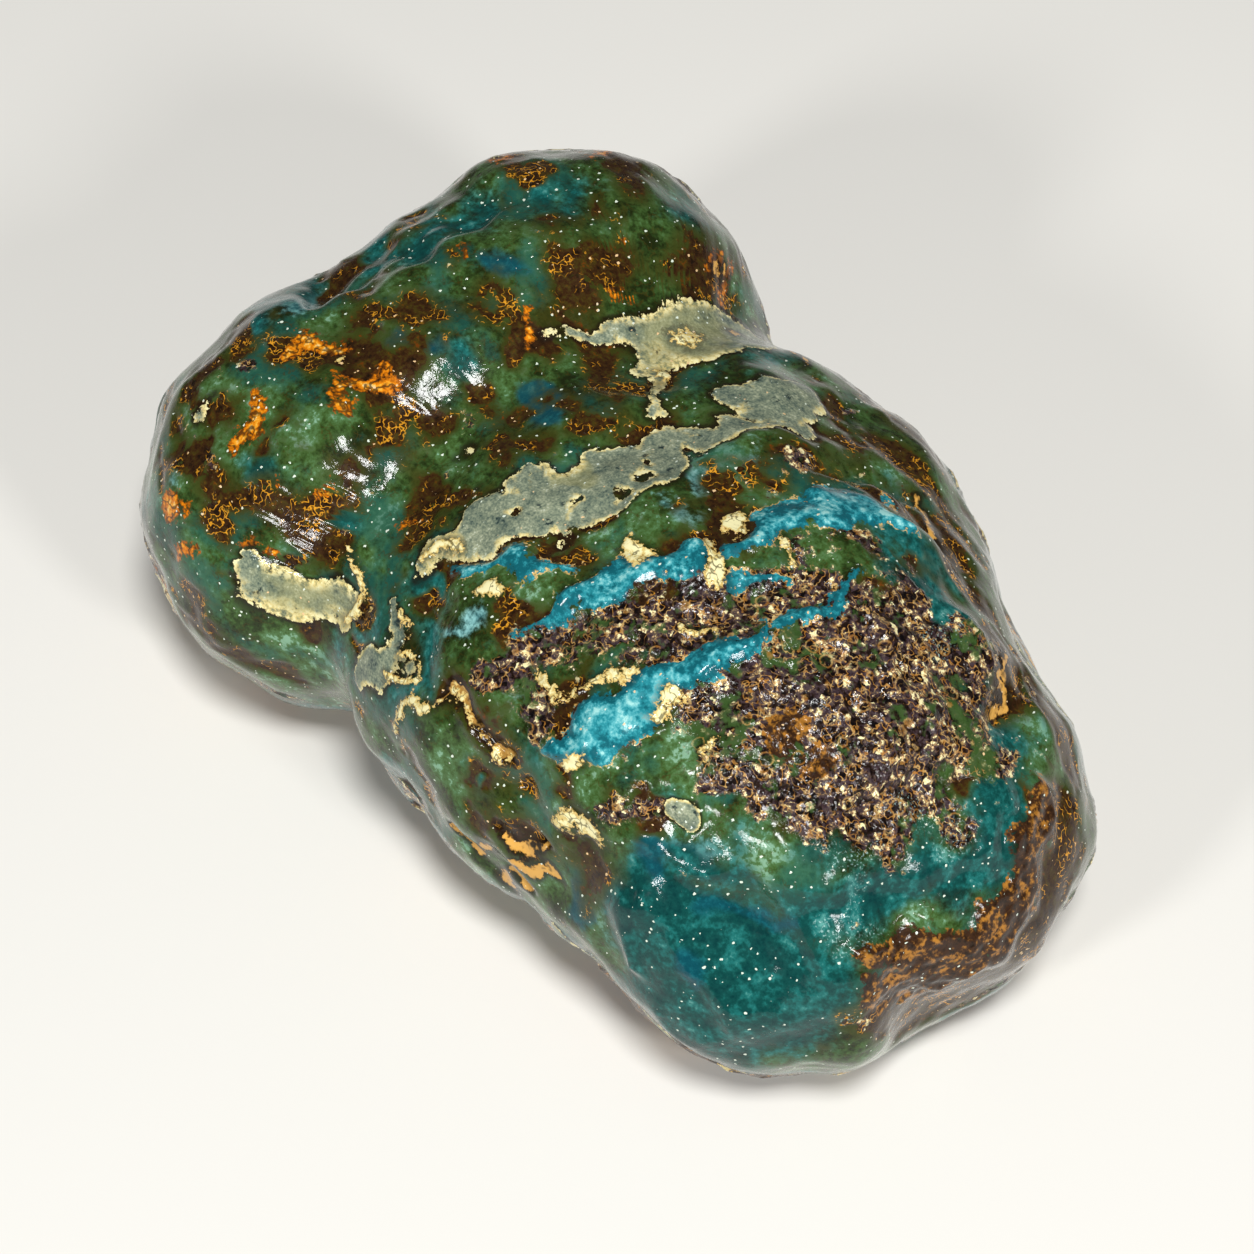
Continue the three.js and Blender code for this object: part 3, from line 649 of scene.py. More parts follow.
# The facing at which marks are fully shown, and where the drawn ones fade out beyond the edge.
SHOWN_BY, FADE_FROM, FADE_TO = 0.3, 0.2, -0.1

# How much is taken off the loose stains of the shown near and far lobes, in mm.
STAINS_OFF_NEAR, STAINS_OFF_FAR = 0.5, 0.3

# The grain's spread in mm, how strongly noise breaks it up, and that noise's wavelength.
GRAIN_SPREAD, GRAIN_BREAK, GRAIN_WAVE = 0.15, 1.8, 2.3

# Clouds over the whole skin: gain, wavelength and seed.
CLOUDS = {"cloud": (2.2, 3.4, 97), "tint": (2.2, 4.4, 101)}


def drawn_inside(s, t, strokes):
    """How deep inside the nearest stroke each place lies, worked out only near each stroke."""
    inside = np.full(len(s), -DEEPEST)
    for points in strokes.values():
        path = smooth_path(points, False)
        reach = path[:, 2].max() + DEEPEST
        low, high = path.min(0) - reach, path.max(0) + reach
        near = (s > low[0]) & (s < high[0]) & (t > low[1]) & (t < high[1])
        inside[near] = np.maximum(inside[near], stroke_inside(s[near], t[near], path))
    return inside


def lobe_shares(s, t):
    """How far each place belongs to the far lobe, the rear band and the chin: S-curves of s and t."""
    far = ease(0.8, -0.8, s + RIVER_S - RIVER_SLOPE * t)
    band = ease(BAND_START, BAND_END, t + BAND_SLOPE * np.abs(s - BAND_MIDDLE)) * (1 - far)
    chin = ease(CHIN_START, CHIN_END, s - CHIN_SLOPE * t) * (1 - far)
    return far, band, chin


def scattered(p, name):
    """One kind of scattered mark: noise times its gain, less its offset, in mm."""
    wave, seed, gain, off = SCATTERED[name]
    return gain * fractal(p, wave, seed, 3) - off


def mark_fields(p, facing):
    """Every kind of mark's depth: drawn on the show side, and from noise where that turns away."""
    s, t = chart_place(p)
    for number, (size, wave) in enumerate(WARPS):
        s = s + size * noise(p, wave, 3 + 2 * number)
        t = t + size * noise(p, wave, 4 + 2 * number)
    drawn = {name: drawn_inside(s, t, strokes) for name, strokes in DRAWN.items()}
    drawn["rind"] = np.minimum(drawn["rind"], -drawn_inside(s, t, RIND_PITS))
    drawn["grain"] = np.maximum(drawn["grain"], -hollow_distance(s, t))
    green, frost = drawn["green"], drawn["frost"]
    shown = ease(0, SHOWN_BY, facing)
    far, band, chin = lobe_shares(s, t)
    stretched = p - ALONG * (p @ ALONG)[:, None] * STRETCH
    loose = np.where((band > 0.5)[:, None] | (shown < 0.5)[:, None], stretched, p)
    bare = np.maximum(chin, ease(-0.2, 0.6, drawn["teal"]) * (1 - band))
    bare = DEEPEST * np.maximum(bare, ease(-0.3, 0.5, green)) * shown
    near = (1 - far) * (1 - band)
    hidden = 2 * DEEPEST * ease(FADE_FROM, FADE_TO, facing)
    fields = {}
    for name in SCATTERED:
        marks = scattered(loose, name)
        if name == "brown":
            marks = marks - (STAINS_OFF_NEAR * near + STAINS_OFF_FAR * far) * shown - bare
        else:
            marks = marks - DEEPEST * shown
        fields[name] = np.maximum(drawn[name] - hidden, marks)
    broken = GRAIN_BREAK * noise(p, GRAIN_WAVE, 91)
    fields["grain"] = fields["grain"] + GRAIN_SPREAD + broken - 2 * ease(-0.6, 1, green) * shown
    for name in fields:
        fields[name] = np.clip(fields[name], -DEEPEST, DEEPEST)
    for name, (gain, wave, seed) in CLOUDS.items():
        fields[name] = gain * fractal(p, wave, seed, 3)
    fields["cloud"] = fields["cloud"] + (0.3 * (1 - far) + 0.4 * ease(-1, 1, green)) * shown
    fields["deep"] = np.maximum(chin, far * ease(-0.3, 0.5, drawn["teal"])) * shown
    # The frosting's share: fine pale speckle, partly painted sparkle of light.
    fields["frost"] = ease(-0.8, 0.8, frost + 2 * noise(p, 2, 103)) * shown
    fields["warm"] = np.zeros(len(p))
    for (at_s, at_t), radius in WARM_SPOTS:
        away = np.hypot(s - at_s, t - at_t)
        fields["warm"] = np.maximum(fields["warm"], ease(radius, radius / 2, away) * shown)
    return fields


# ---- the fine relief, which only this skin has ----

# Heights and depths in mm, then the sizes of the vesicles and grits.
LIP_RISE, PIT_SINK, GRIT_RISE = 0.07, 0.2, 0.1
CRINKLE_RISE, CRUST_GRIT, STRAND_RISE = 0.16, 0.05, 0.06
RIND_RISE, CHIP_RISE, STAIN_SINK = 0.07, 0.1, 0.09
VESICLE_SIZE, GRIT_SIZE, GRIT_MIDDLE = 1.15, 0.5, 0.3
LIP_REACH, LIP_WIDTH = 1.25, 0.12


def fine_relief(p, fields):
    """Vesicles and rims in the grain, crinkled crust, raised chips, sunken stains and ripples, in mm."""
    grain = ease(-0.2, 0.5, fields["grain"])
    heel = ease(-0.2, 0.4, fields["heel"])
    rind = ease(-0.06, 0.12, fields["rind"])
    cream = ease(-0.08, 0.1, fields["cream"])
    brown = ease(-0.2, 0.3, fields["brown"]) * (1 - rind)
    streak = ease(-0.1, 0.15, fields["streak"])
    rib = ease(-0.1, 0.2, fields["rib"])
    first, second, number = nearest_seeds(p, VESICLE_SIZE, 71)
    width = 0.26 + 0.2 * number
    pit = np.exp(-(first / width) ** 4)
    lip = np.exp(-((first - width * LIP_REACH) / LIP_WIDTH) ** 2)
    grit, _, _ = nearest_seeds(p, GRIT_SIZE, 73)
    rough = fractal(p, 0.9, 79, 3)
    height = 0.05 * noise(p, 1.7, 83) + 0.02 * noise(p, 0.8, 89)
    vesicles = LIP_RISE * lip - PIT_SINK * pit * (number > 0.3)
    height += grain * (1 - rib) * (vesicles + GRIT_RISE * (GRIT_MIDDLE - grit))
    height += heel * (CRINKLE_RISE * rough + CRUST_GRIT * (GRIT_MIDDLE - grit))
    height += RIND_RISE * rind + CHIP_RISE * cream - STAIN_SINK * brown * (1 - cream)
    height += streak * STRAND_RISE * rough
    return height


# ---- the mesh ----

def nodule_surface(cells, fineness):
    """The skin's points, quads and mark depths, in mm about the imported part's own middle.

    Each point is the bare form's, moved out along its normal by the broad and the fine relief.
    The relief dies away at the base, and nothing goes below the resting plane.
    """
    directions, quads = ball_grid(cells)
    bare = skin_points(directions)
    normals = skin_normals(bare)
    facing = normals @ SHOW
    fields = mark_fields(bare, facing)
    height = broad_relief(bare, facing) + fineness * fine_relief(bare, fields)
    points = bare + normals * (height * ease(0, BASE_FADE, bare[:, 2]))[:, None]
    points[:, 2] = np.maximum(points[:, 2], 0)
    return points, quads, fields


def put_mesh(name, points, quads, fields):
    """A smooth mesh object of these points, in metres, with each field as a point attribute."""
    mesh = bpy.data.meshes.new(name)
    mesh.vertices.add(len(points))
    mesh.vertices.foreach_set("co", np.ascontiguousarray(points, np.float32).ravel())
    mesh.loops.add(quads.size)
    mesh.loops.foreach_set("vertex_index", quads.astype(np.int32).ravel())
    mesh.polygons.add(len(quads))
    mesh.polygons.foreach_set("loop_start", np.arange(0, quads.size, 4, dtype=np.int32))
    mesh.polygons.foreach_set("use_smooth", np.ones(len(quads), bool))
    mesh.update(calc_edges=True)
    mesh.validate()
    for key, values in fields.items():
        layer = mesh.attributes.new(key, "FLOAT", "POINT")
        layer.data.foreach_set("value", values.astype(np.float32))
    piece = bpy.data.objects.new(name, mesh)
    bpy.context.scene.collection.objects.link(piece)
    return piece


# ---- the finish ----

class Graph:
    """Adds nodes to a material. Each call links or sets its inputs and gives back an output."""

    def __init__(self, material):
        """Start from an empty tree."""
        self.tree = material.node_tree
        self.tree.nodes.clear()

    def node(self, kind, inputs, **settings):
        """A new node, whose inputs are linked to outputs or set to values."""
        made = self.tree.nodes.new(kind)
        for name, value in settings.items():
            setattr(made, name, value)
        for key, value in inputs.items():
            if isinstance(value, bpy.types.NodeSocket):
                self.tree.links.new(value, made.inputs[key])
            else:
                made.inputs[key].default_value = value
        return made

    def sum(self, operation, first, second=0.0, clamp=False):
        """One sum of two values."""
        inputs = {0: first, 1: second}
        return self.node("ShaderNodeMath", inputs, operation=operation, use_clamp=clamp).outputs[0]

    def add(self, first, second):
        """The two values added."""
        return self.sum("ADD", first, second)

    def times(self, first, second):
        """The two values multiplied."""
        return self.sum("MULTIPLY", first, second)

    def without(self, mask, *others):
        """A mask where none of the others is."""
        for other in others:
            mask = self.times(mask, self.sum("SUBTRACT", 1.0, other, clamp=True))
        return mask

    def ease(self, value, start, end, low=0.0, high=1.0):
        """An S-curve from low at the start to high at the end."""
        inputs = {"Value": value, "From Min": start, "From Max": end, "To Min": low, "To Max": high}
        return self.node("ShaderNodeMapRange", inputs, interpolation_type="SMOOTHSTEP").outputs[0]

    def mark(self, name):
        """A mark's depth, read from the mesh."""
        return self.node("ShaderNodeAttribute", {}, attribute_name=name).outputs["Fac"]

    def noise(self, place, size, detail, roughness):
        """Noise from 0 to 1, whose largest waves have this size."""
        inputs = {"Vector": place, "Scale": 1 / size, "Detail": detail, "Roughness": roughness}
        return self.node("ShaderNodeTexNoise", inputs).outputs[0]

    def spread(self, share):
        """Noise from 0 to 1 as a value about 0, mostly within 1 of it."""
        inputs = {0: share, 1: 4.5, 2: -2.25}
        return self.node("ShaderNodeMath", inputs, operation="MULTIPLY_ADD").outputs[0]

    def to_share(self, value):
        """A value from -1 to 1 as a share from 0 to 1."""
        inputs = {0: value, 1: 0.5, 2: 0.5}
        return self.node("ShaderNodeMath", inputs, operation="MULTIPLY_ADD").outputs[0]

    def shifted(self, place, shift):
        """A place moved, so that two noises differ."""
        inputs = {0: place, 1: shift}
        return self.node("ShaderNodeVectorMath", inputs, operation="ADD").outputs[0]

    def bent(self, place, first, second, size):
        """A place pushed about by two noises."""
        push = self.node("ShaderNodeCombineXYZ", {0: first, 1: second, 2: first}).outputs[0]
        push = self.node("ShaderNodeVectorMath", {0: push, "Scale": size}, operation="SCALE").outputs[0]
        return self.node("ShaderNodeVectorMath", {0: place, 1: push}, operation="ADD").outputs[0]

    def cells(self, place, size):
        """Scattered cells of this size, with the distance to each one's seed."""
        return self.node("ShaderNodeTexVoronoi", {"Vector": place, "Scale": 1 / size})

    def first_of(self, colour):
        """A colour's red part, as a fixed number for each cell."""
        return self.node("ShaderNodeSeparateColor", {0: colour}).outputs[0]

    def mix(self, share, under, over):
        """One colour over another, by a share from 0 to 1."""
        inputs = {0: share, 6: under, 7: over}
        return self.node("ShaderNodeMix", inputs, data_type="RGBA").outputs[2]

    def band(self, value, centre, half):
        """1 where a value is at the centre, easing to 0 at half a band's width either side."""
        off = self.sum("ABSOLUTE", self.add(value, -centre))
        return self.ease(off, half, 0.0)

    def stops(self, value, colours):
        """A colour picked from a row of places and colours."""
        ramp = self.node("ShaderNodeValToRGB", {0: value})
        points = ramp.color_ramp.elements
        while len(points) < len(colours):
            points.new(1.0)
        for point, (position, colour) in zip(points, colours):
            point.position = position
            point.color = colour
        return ramp.outputs[0]


def rgb(red, green, blue):
    """A display colour from 0 to 255, as a linear colour with full alpha."""
    parts = [part / 255 for part in (red, green, blue)]
    return tuple(c / 12.92 if c <= 0.04045 else ((c + 0.055) / 1.055) ** 2.4 for c in parts) + (1.0,)


# The shared noises: size in mm, octaves, roughness and where each is read. The cells' sizes in mm.
GRAIN_NOISES = {
    "grit": (0.38, 3.0, 0.66, (0, 0, 0)),
    "tone": (1.25, 3.0, 0.6, (11, 5, 3)),
    "frost": (0.13, 1.0, 0.5, (3, 17, 9)),
    "line": (0.9, 2.0, 0.62, (31, 2, 8)),
    "curl": (0.42, 1.5, 0.5, (7, 29, 13)),
}
CELL_SIZE, BUBBLE_SIZE, CELL_BEND = 0.36, 0.95, 0.05

# The wet gloss, and the heights in mm that only the light sees.
GLOSS = {
    "IOR": 1.45, "Specular IOR Level": 0.05, "Coat Weight": 1.0, "Coat Roughness": 0.04,
    "Coat IOR": 1.27,
}
BUMP_STRENGTH = 0.5
BUMP_GRAIN, BUMP_GRIT, BUMP_DOT, BUMP_CHIP = 0.1, 0.009, 0.012, 0.02


class Grains:
    """The noises and cells that every layer shares, all read from one place in mm."""

    def __init__(self, g, place):
        """Make each noise once."""
        self.g = g
        for name, (size, detail, roughness, shift) in GRAIN_NOISES.items():
            read = g.shifted(place, shift) if any(shift) else place
            value = g.spread(g.noise(read, size, detail, roughness))
            setattr(self, name, g.sum("ABSOLUTE", value) if name in ("line", "curl") else value)
        bent = g.bent(place, self.grit, self.frost, CELL_BEND)
        cells = g.cells(bent, CELL_SIZE)
        self.grain = cells.outputs["Distance"]
        self.grain_number = g.first_of(cells.outputs["Color"])
        bubbles = g.cells(bent, BUBBLE_SIZE)
        self.bubble = bubbles.outputs["Distance"]
        self.bubble_number = g.first_of(bubbles.outputs["Color"])

    def mixed(self, base, grit, tone):
        """A base value plus shares of the two broad noises."""
        g = self.g
        return g.add(g.add(base, g.times(self.grit, grit)), g.times(self.tone, tone))

    def depth(self, name, grit, tone):
        """A mark's depth with its edge broken by the two broad noises."""
        return self.mixed(self.g.mark(name), grit, tone)


def stone_layer(g, n, look):
    """The green stone under every mark, clouded from deep olive to pale green and blue."""
    tone = n.mixed(g.times(g.mark("cloud"), 0.55), 0.6, 0.55)
    colour = g.stops(g.to_share(tone), [
        (0.12, look.stone_deep), (0.36, look.stone_dark), (0.6, look.stone), (0.86, look.stone_pale),
        (1.0, look.stone_frost)])
    tint = n.depth("tint", 0.25, -0.3)
    colour = g.mix(g.ease(tint, 0.1, 1.0, 0.0, 0.65), colour, look.stone_blue)
    vein = g.times(g.ease(n.line, 0.12, 0.0), g.ease(n.tone, 0.3, -0.3))
    colour = g.mix(g.times(vein, 0.55), colour, look.olive_brown)
    blue = n.depth("blue", 0.3, 0.4)
    over = g.mix(g.ease(n.mixed(0.0, 0.6, 0.3), -0.7, 0.9), look.rib_deep, look.rib_pale)
    return g.mix(g.ease(blue, -0.4, 0.5), colour, over)


def teal_layer(g, n, look):
    """Blue-green fields, which come on softly and are deepest under the chin."""
    share = g.ease(n.depth("teal", 0.25, 0.5), -0.9, 0.8)
    # Lighter where frosted, which is partly painted sparkle, and darker under the chin.
    lift = g.add(g.times(g.mark("frost"), 0.5), g.times(g.mark("deep"), -0.3))
    tone = n.mixed(lift, 0.5, 0.6)
    colour = g.stops(g.to_share(tone), [
        (0.05, look.teal_deep), (0.35, look.teal_dark), (0.62, look.teal), (0.95, look.teal_pale)])
    return share, colour


def grain_layer(g, n, look):
    """A granular floor: browns and greys in small cells, tan curls, and a few round vesicles."""
    share = g.ease(n.depth("grain", 0.5, 0.9), -0.3, 0.35)
    tone = n.mixed(g.times(g.add(n.grain_number, -0.5), 1.6), 0.9, 0.15)
    colour = g.stops(g.to_share(tone), [
        (0.08, look.grain_dark), (0.36, look.grain_brown), (0.6, look.grain_purple),
        (0.78, look.grain), (0.92, look.grain_tan), (1.0, look.cream)])
    island = g.ease(n.mixed(g.times(g.mark("cloud"), 0.5), 0.3, -0.9), 0.35, 0.8, 0.0, 0.8)
    colour = g.mix(island, colour, look.stone)
    chosen = g.ease(n.bubble_number, 0.62, 0.66)
    size = g.ease(n.bubble_number, 0.6, 1.0, 0.16, 0.4)
    rim = g.sum("SUBTRACT", n.bubble, size)
    floor = g.times(g.ease(rim, 0.0, -0.1), chosen)
    ring = g.times(g.band(rim, 0.03, 0.08), chosen)
    colour = g.mix(g.times(floor, 0.7), colour, look.grain_dark)
    curl = g.times(g.ease(n.curl, 0.2, 0.03), g.ease(n.tone, -0.35, 0.35))
    gilt = g.sum("MAXIMUM", g.times(ring, 0.45), g.times(curl, 0.7))
    return share, g.mix(gilt, colour, g.mix(g.ease(n.grit, -0.6, 0.6), look.grain_gold, look.tan))


def brown_layer(g, n, colour, look):
    """Stains over a colour: an olive halo, ragged umber to rust inside, and golden crinkles."""
    depth = n.depth("brown", 0.28, 0.3)
    colour = g.mix(g.ease(depth, -1.0, 0.0, 0.0, 0.8), colour, look.olive)
    inner = n.mixed(0.0, 0.8, -0.4)
    over = g.stops(g.to_share(inner), [
        (0.15, look.umber), (0.5, look.brown), (0.75, look.olive_brown), (0.95, look.rust)])
    stain = g.ease(depth, -0.12, 0.14)
    colour = g.mix(stain, colour, over)
    gilt = g.times(g.ease(n.curl, 0.16, 0.03), g.ease(depth, -0.3, 0.05))
    gilt = g.times(gilt, g.ease(g.add(n.tone, g.times(g.mark("tint"), 0.5)), 0.0, 0.55))
    return stain, g.mix(g.times(gilt, 0.8), colour, look.gold)


def ember_layer(g, n, colour, look):
    """Glowing flecks over a colour: rust, then orange and gold, and cream where they lie deepest."""
    depth = n.depth("ember", 0.34, 0.2)
    over = g.stops(g.ease(depth, -0.2, 0.7), [
        (0.0, look.rust), (0.4, look.orange), (0.75, look.gold), (1.0, look.pink_cream)])
    over = g.mix(g.times(g.ease(n.line, 0.3, 0.05), 0.85), over, look.brown)
    ember = g.ease(depth, -0.15, 0.05)
    return ember, g.mix(ember, colour, over)


def rib_layer(g, n, colour, look):
    """Cyan crowns with paler clouds, hemmed by a thin tan line."""
    depth = n.depth("rib", 0.26, 0.16)
    tone = n.mixed(g.ease(depth, 0.0, 0.8, -0.9, 0.0), 0.7, 0.8)
    over = g.stops(g.to_share(tone), [
        (0.05, look.rib_deep), (0.4, look.rib), (0.62, look.rib_light), (0.9, look.rib_pale)])
    hem = g.times(g.band(depth, -0.05, 0.09), g.ease(n.tone, 0.0, 0.4))
    rib = g.ease(depth, -0.03, 0.04)
    return rib, g.mix(hem, g.mix(rib, colour, over), look.tan)


def rind_layer(g, n, colour, look):
    """Grey frosted rind over a dark band, with dark angular pits and a ragged cream edge."""
    depth = n.depth("rind", 0.17, 0.1)
    warm = g.add(g.times(g.mark("warm"), 0.9), g.times(n.tone, 0.5))
    shade = g.times(g.ease(depth, -0.4, -0.08), g.ease(n.tone, -0.8, -0.1))
    colour = g.mix(g.times(shade, 0.85), colour, look.umber)
    tone = g.add(n.mixed(0.0, 0.45, 0.45), g.times(n.frost, 0.35))
    over = g.stops(g.to_share(tone), [
        (0.02, look.rind_pit), (0.22, look.rind_dark), (0.5, look.rind), (0.78, look.rind_pale),
        (1.0, look.pale_speck_and_glint)])
    over = g.mix(g.ease(warm, 0.2, 1.1, 0.0, 0.4), over, look.rind_warm)
    pit = g.times(g.ease(n.bubble, 0.34, 0.2), g.ease(n.bubble_number, 0.5, 0.54))
    pit = g.times(pit, g.ease(g.add(n.grit, g.times(n.tone, 0.4)), 0.15, -0.25))
    over = g.mix(g.times(pit, 0.9), over, look.rind_pit)
    rind = g.ease(depth, -0.02, 0.03)
    reach = g.ease(warm, -0.3, 1.0, 0.12, 0.9)
    lip = g.ease(g.sum("DIVIDE", depth, reach), 1.0, 0.2)
    lip = g.times(lip, g.ease(n.mixed(0.0, 0.8, 0.3), -0.5, 0.2))
    over = g.mix(lip, over, g.mix(g.ease(n.grit, -0.3, 0.7), look.cream_dim, look.cream))
    return rind, g.mix(rind, colour, over)


def crust_layers(g, n, colour, look):
    """The heel's crinkled crust, the flank's golden strands and the cream chips, whose dark rim is partly
    painted shadow.
    """
    depth = n.depth("heel", 0.3, 0.25)
    heel = g.ease(depth, -0.05, 0.08)
    over = g.stops(g.to_share(n.mixed(0.0, 0.8, 0.4)), [
        (0.15, look.umber), (0.45, look.crust), (0.75, look.crust_purple), (0.95, look.crust_green)])
    gilt = g.times(g.ease(n.mixed(0.0, 0.9, 0.7), -0.1, 0.7), g.ease(n.line, 0.6, 0.1))
    over = g.mix(gilt, over, look.crust_gold)
    colour = g.mix(heel, colour, over)
    depth = n.depth("streak", 0.12, 0.06)
    over = g.mix(g.ease(depth, -0.15, 0.1), look.crust_gold, look.cream_gold)
    colour = g.mix(g.ease(depth, -0.4, -0.1, 0.0, 0.8), colour, look.umber)
    colour = g.mix(g.times(g.ease(depth, -0.06, 0.02), g.ease(n.tone, -0.6, -0.1)), colour, over)
    depth = n.depth("cream", 0.3, 0.15)
    cream = g.ease(depth, -0.04, 0.05)
    over = g.stops(g.ease(depth, -0.14, 0.5), [
        (0.0, look.cream_gold), (0.35, look.cream_dim), (0.75, look.cream)])
    over = g.mix(g.ease(n.line, 0.14, 0.03, 0.0, 0.75), over, look.olive_brown)
    # A dark umber rim round the chips: a brown bed, partly painted shadow at the foot of the raised chips.
    colour = g.mix(g.ease(depth, -0.4, -0.15, 0.0, 0.45), colour, look.umber)
    return heel, cream, g.mix(cream, colour, over)


def amber_skin(look):
    """The nodule's glossy skin: stone, teal, pools with painted shade, grain, stains, ribs, rind, crust,
    frosting and specks, the last two partly painted glints.
    """
    material = bpy.data.materials.new("amber_skin")
    material.use_nodes = True
    g = Graph(material)
    metres = g.node("ShaderNodeTexCoord", {}).outputs["Object"]
    inputs = {0: metres, "Scale": 1 / MM}
    place = g.node("ShaderNodeVectorMath", inputs, operation="SCALE").outputs[0]
    n = Grains(g, place)

    colour = stone_layer(g, n, look)
    teal, over = teal_layer(g, n, look)
    colour = g.mix(teal, colour, over)
    # Deep blue pools, and painted shade in the chin's hollow and on the underside.
    pool = g.ease(n.depth("pool", 0.15, 0.25), -0.4, 0.3, 0.0, 0.85)
    colour = g.mix(pool, colour, g.mix(g.ease(n.grit, -0.2, 1.0), look.pool, look.rib_deep))
    brown, colour = brown_layer(g, n, colour, look)
    grain, over = grain_layer(g, n, look)
    colour = g.mix(grain, colour, over)
    ember, colour = ember_layer(g, n, colour, look)
    rib, colour = rib_layer(g, n, colour, look)
    rind, colour = rind_layer(g, n, colour, look)
    heel, cream, colour = crust_layers(g, n, colour, look)
    # Pale frosting: fine pale speckles over the teal, partly painted sparkle of light.
    frosted = g.times(g.ease(n.frost, 0.35, 1.0), g.ease(n.depth("frost", 0.3, 0.5), 0.3, 1.3))
    colour = g.mix(g.times(frosted, 0.6), colour, look.teal_frost_and_glint)
    # Painted glints: tiny pale dots in some grain cells stand in for sparkles of light on the wet skin,
    # partly pale dust; gold in the stains and grain.
    size = g.ease(n.grain_number, 0.6, 1.0, 0.05, 0.24)
    dot = g.times(g.ease(g.sum("SUBTRACT", n.grain, size), 0.0, -0.05), g.ease(n.grain_number, 0.6, 0.62))
    tinge = g.sum("MAXIMUM", brown, grain)
    colour = g.mix(dot, colour, g.mix(g.times(tinge, 0.6), look.pale_speck_and_glint, look.gold))

    grains = g.times(g.times(n.grain, BUMP_GRAIN), g.without(grain, rib))
    relief = g.add(g.times(n.grit, BUMP_GRIT), grains)
    relief = g.add(relief, g.times(dot, BUMP_DOT))
    relief = g.add(relief, g.times(cream, BUMP_CHIP))
    bump = g.node("ShaderNodeBump", {"Height": relief, "Strength": BUMP_STRENGTH, "Distance": MM})
    rough = g.add(g.times(heel, 0.2), g.times(rind, 0.1))
    rough = g.add(g.ease(n.grit, -0.8, 0.8, 0.25, 0.4), rough)
    inputs = {
        "Base Color": colour, "Roughness": rough, "Normal": bump.outputs[0],
        "Coat Normal": bump.outputs[0], **GLOSS,
    }
    skin = g.node("ShaderNodeBsdfPrincipled", inputs)
    g.node("ShaderNodeOutputMaterial", {"Surface": skin.outputs[0]})
    return material


def plain_finish(name, colour, roughness):
    """One even, matt colour."""
    material = bpy.data.materials.new(name)
    material.use_nodes = True
    shader = material.node_tree.nodes["Principled BSDF"]
    shader.inputs["Base Color"].default_value = colour
    shader.inputs["Roughness"].default_value = roughness
    return material


# ---- what a user would change ----

def colour_property(name, description, default):
    """A linear colour with alpha."""
    return FloatVectorProperty(
        name=name, description=description, default=default, subtype="COLOR", size=4, min=0, max=1)


class AmberShape(bpy.types.PropertyGroup):
    """Sizes of the nodule's skin."""

    cells: IntProperty(
        name="Cells", description="Grid cells along each edge of the six grids", default=128,
        min=16, max=128)
    fineness: FloatProperty(
        name="Fine relief", description="How strongly pits, rims and crinkles are raised",
        default=1, min=0, max=2, subtype="FACTOR")


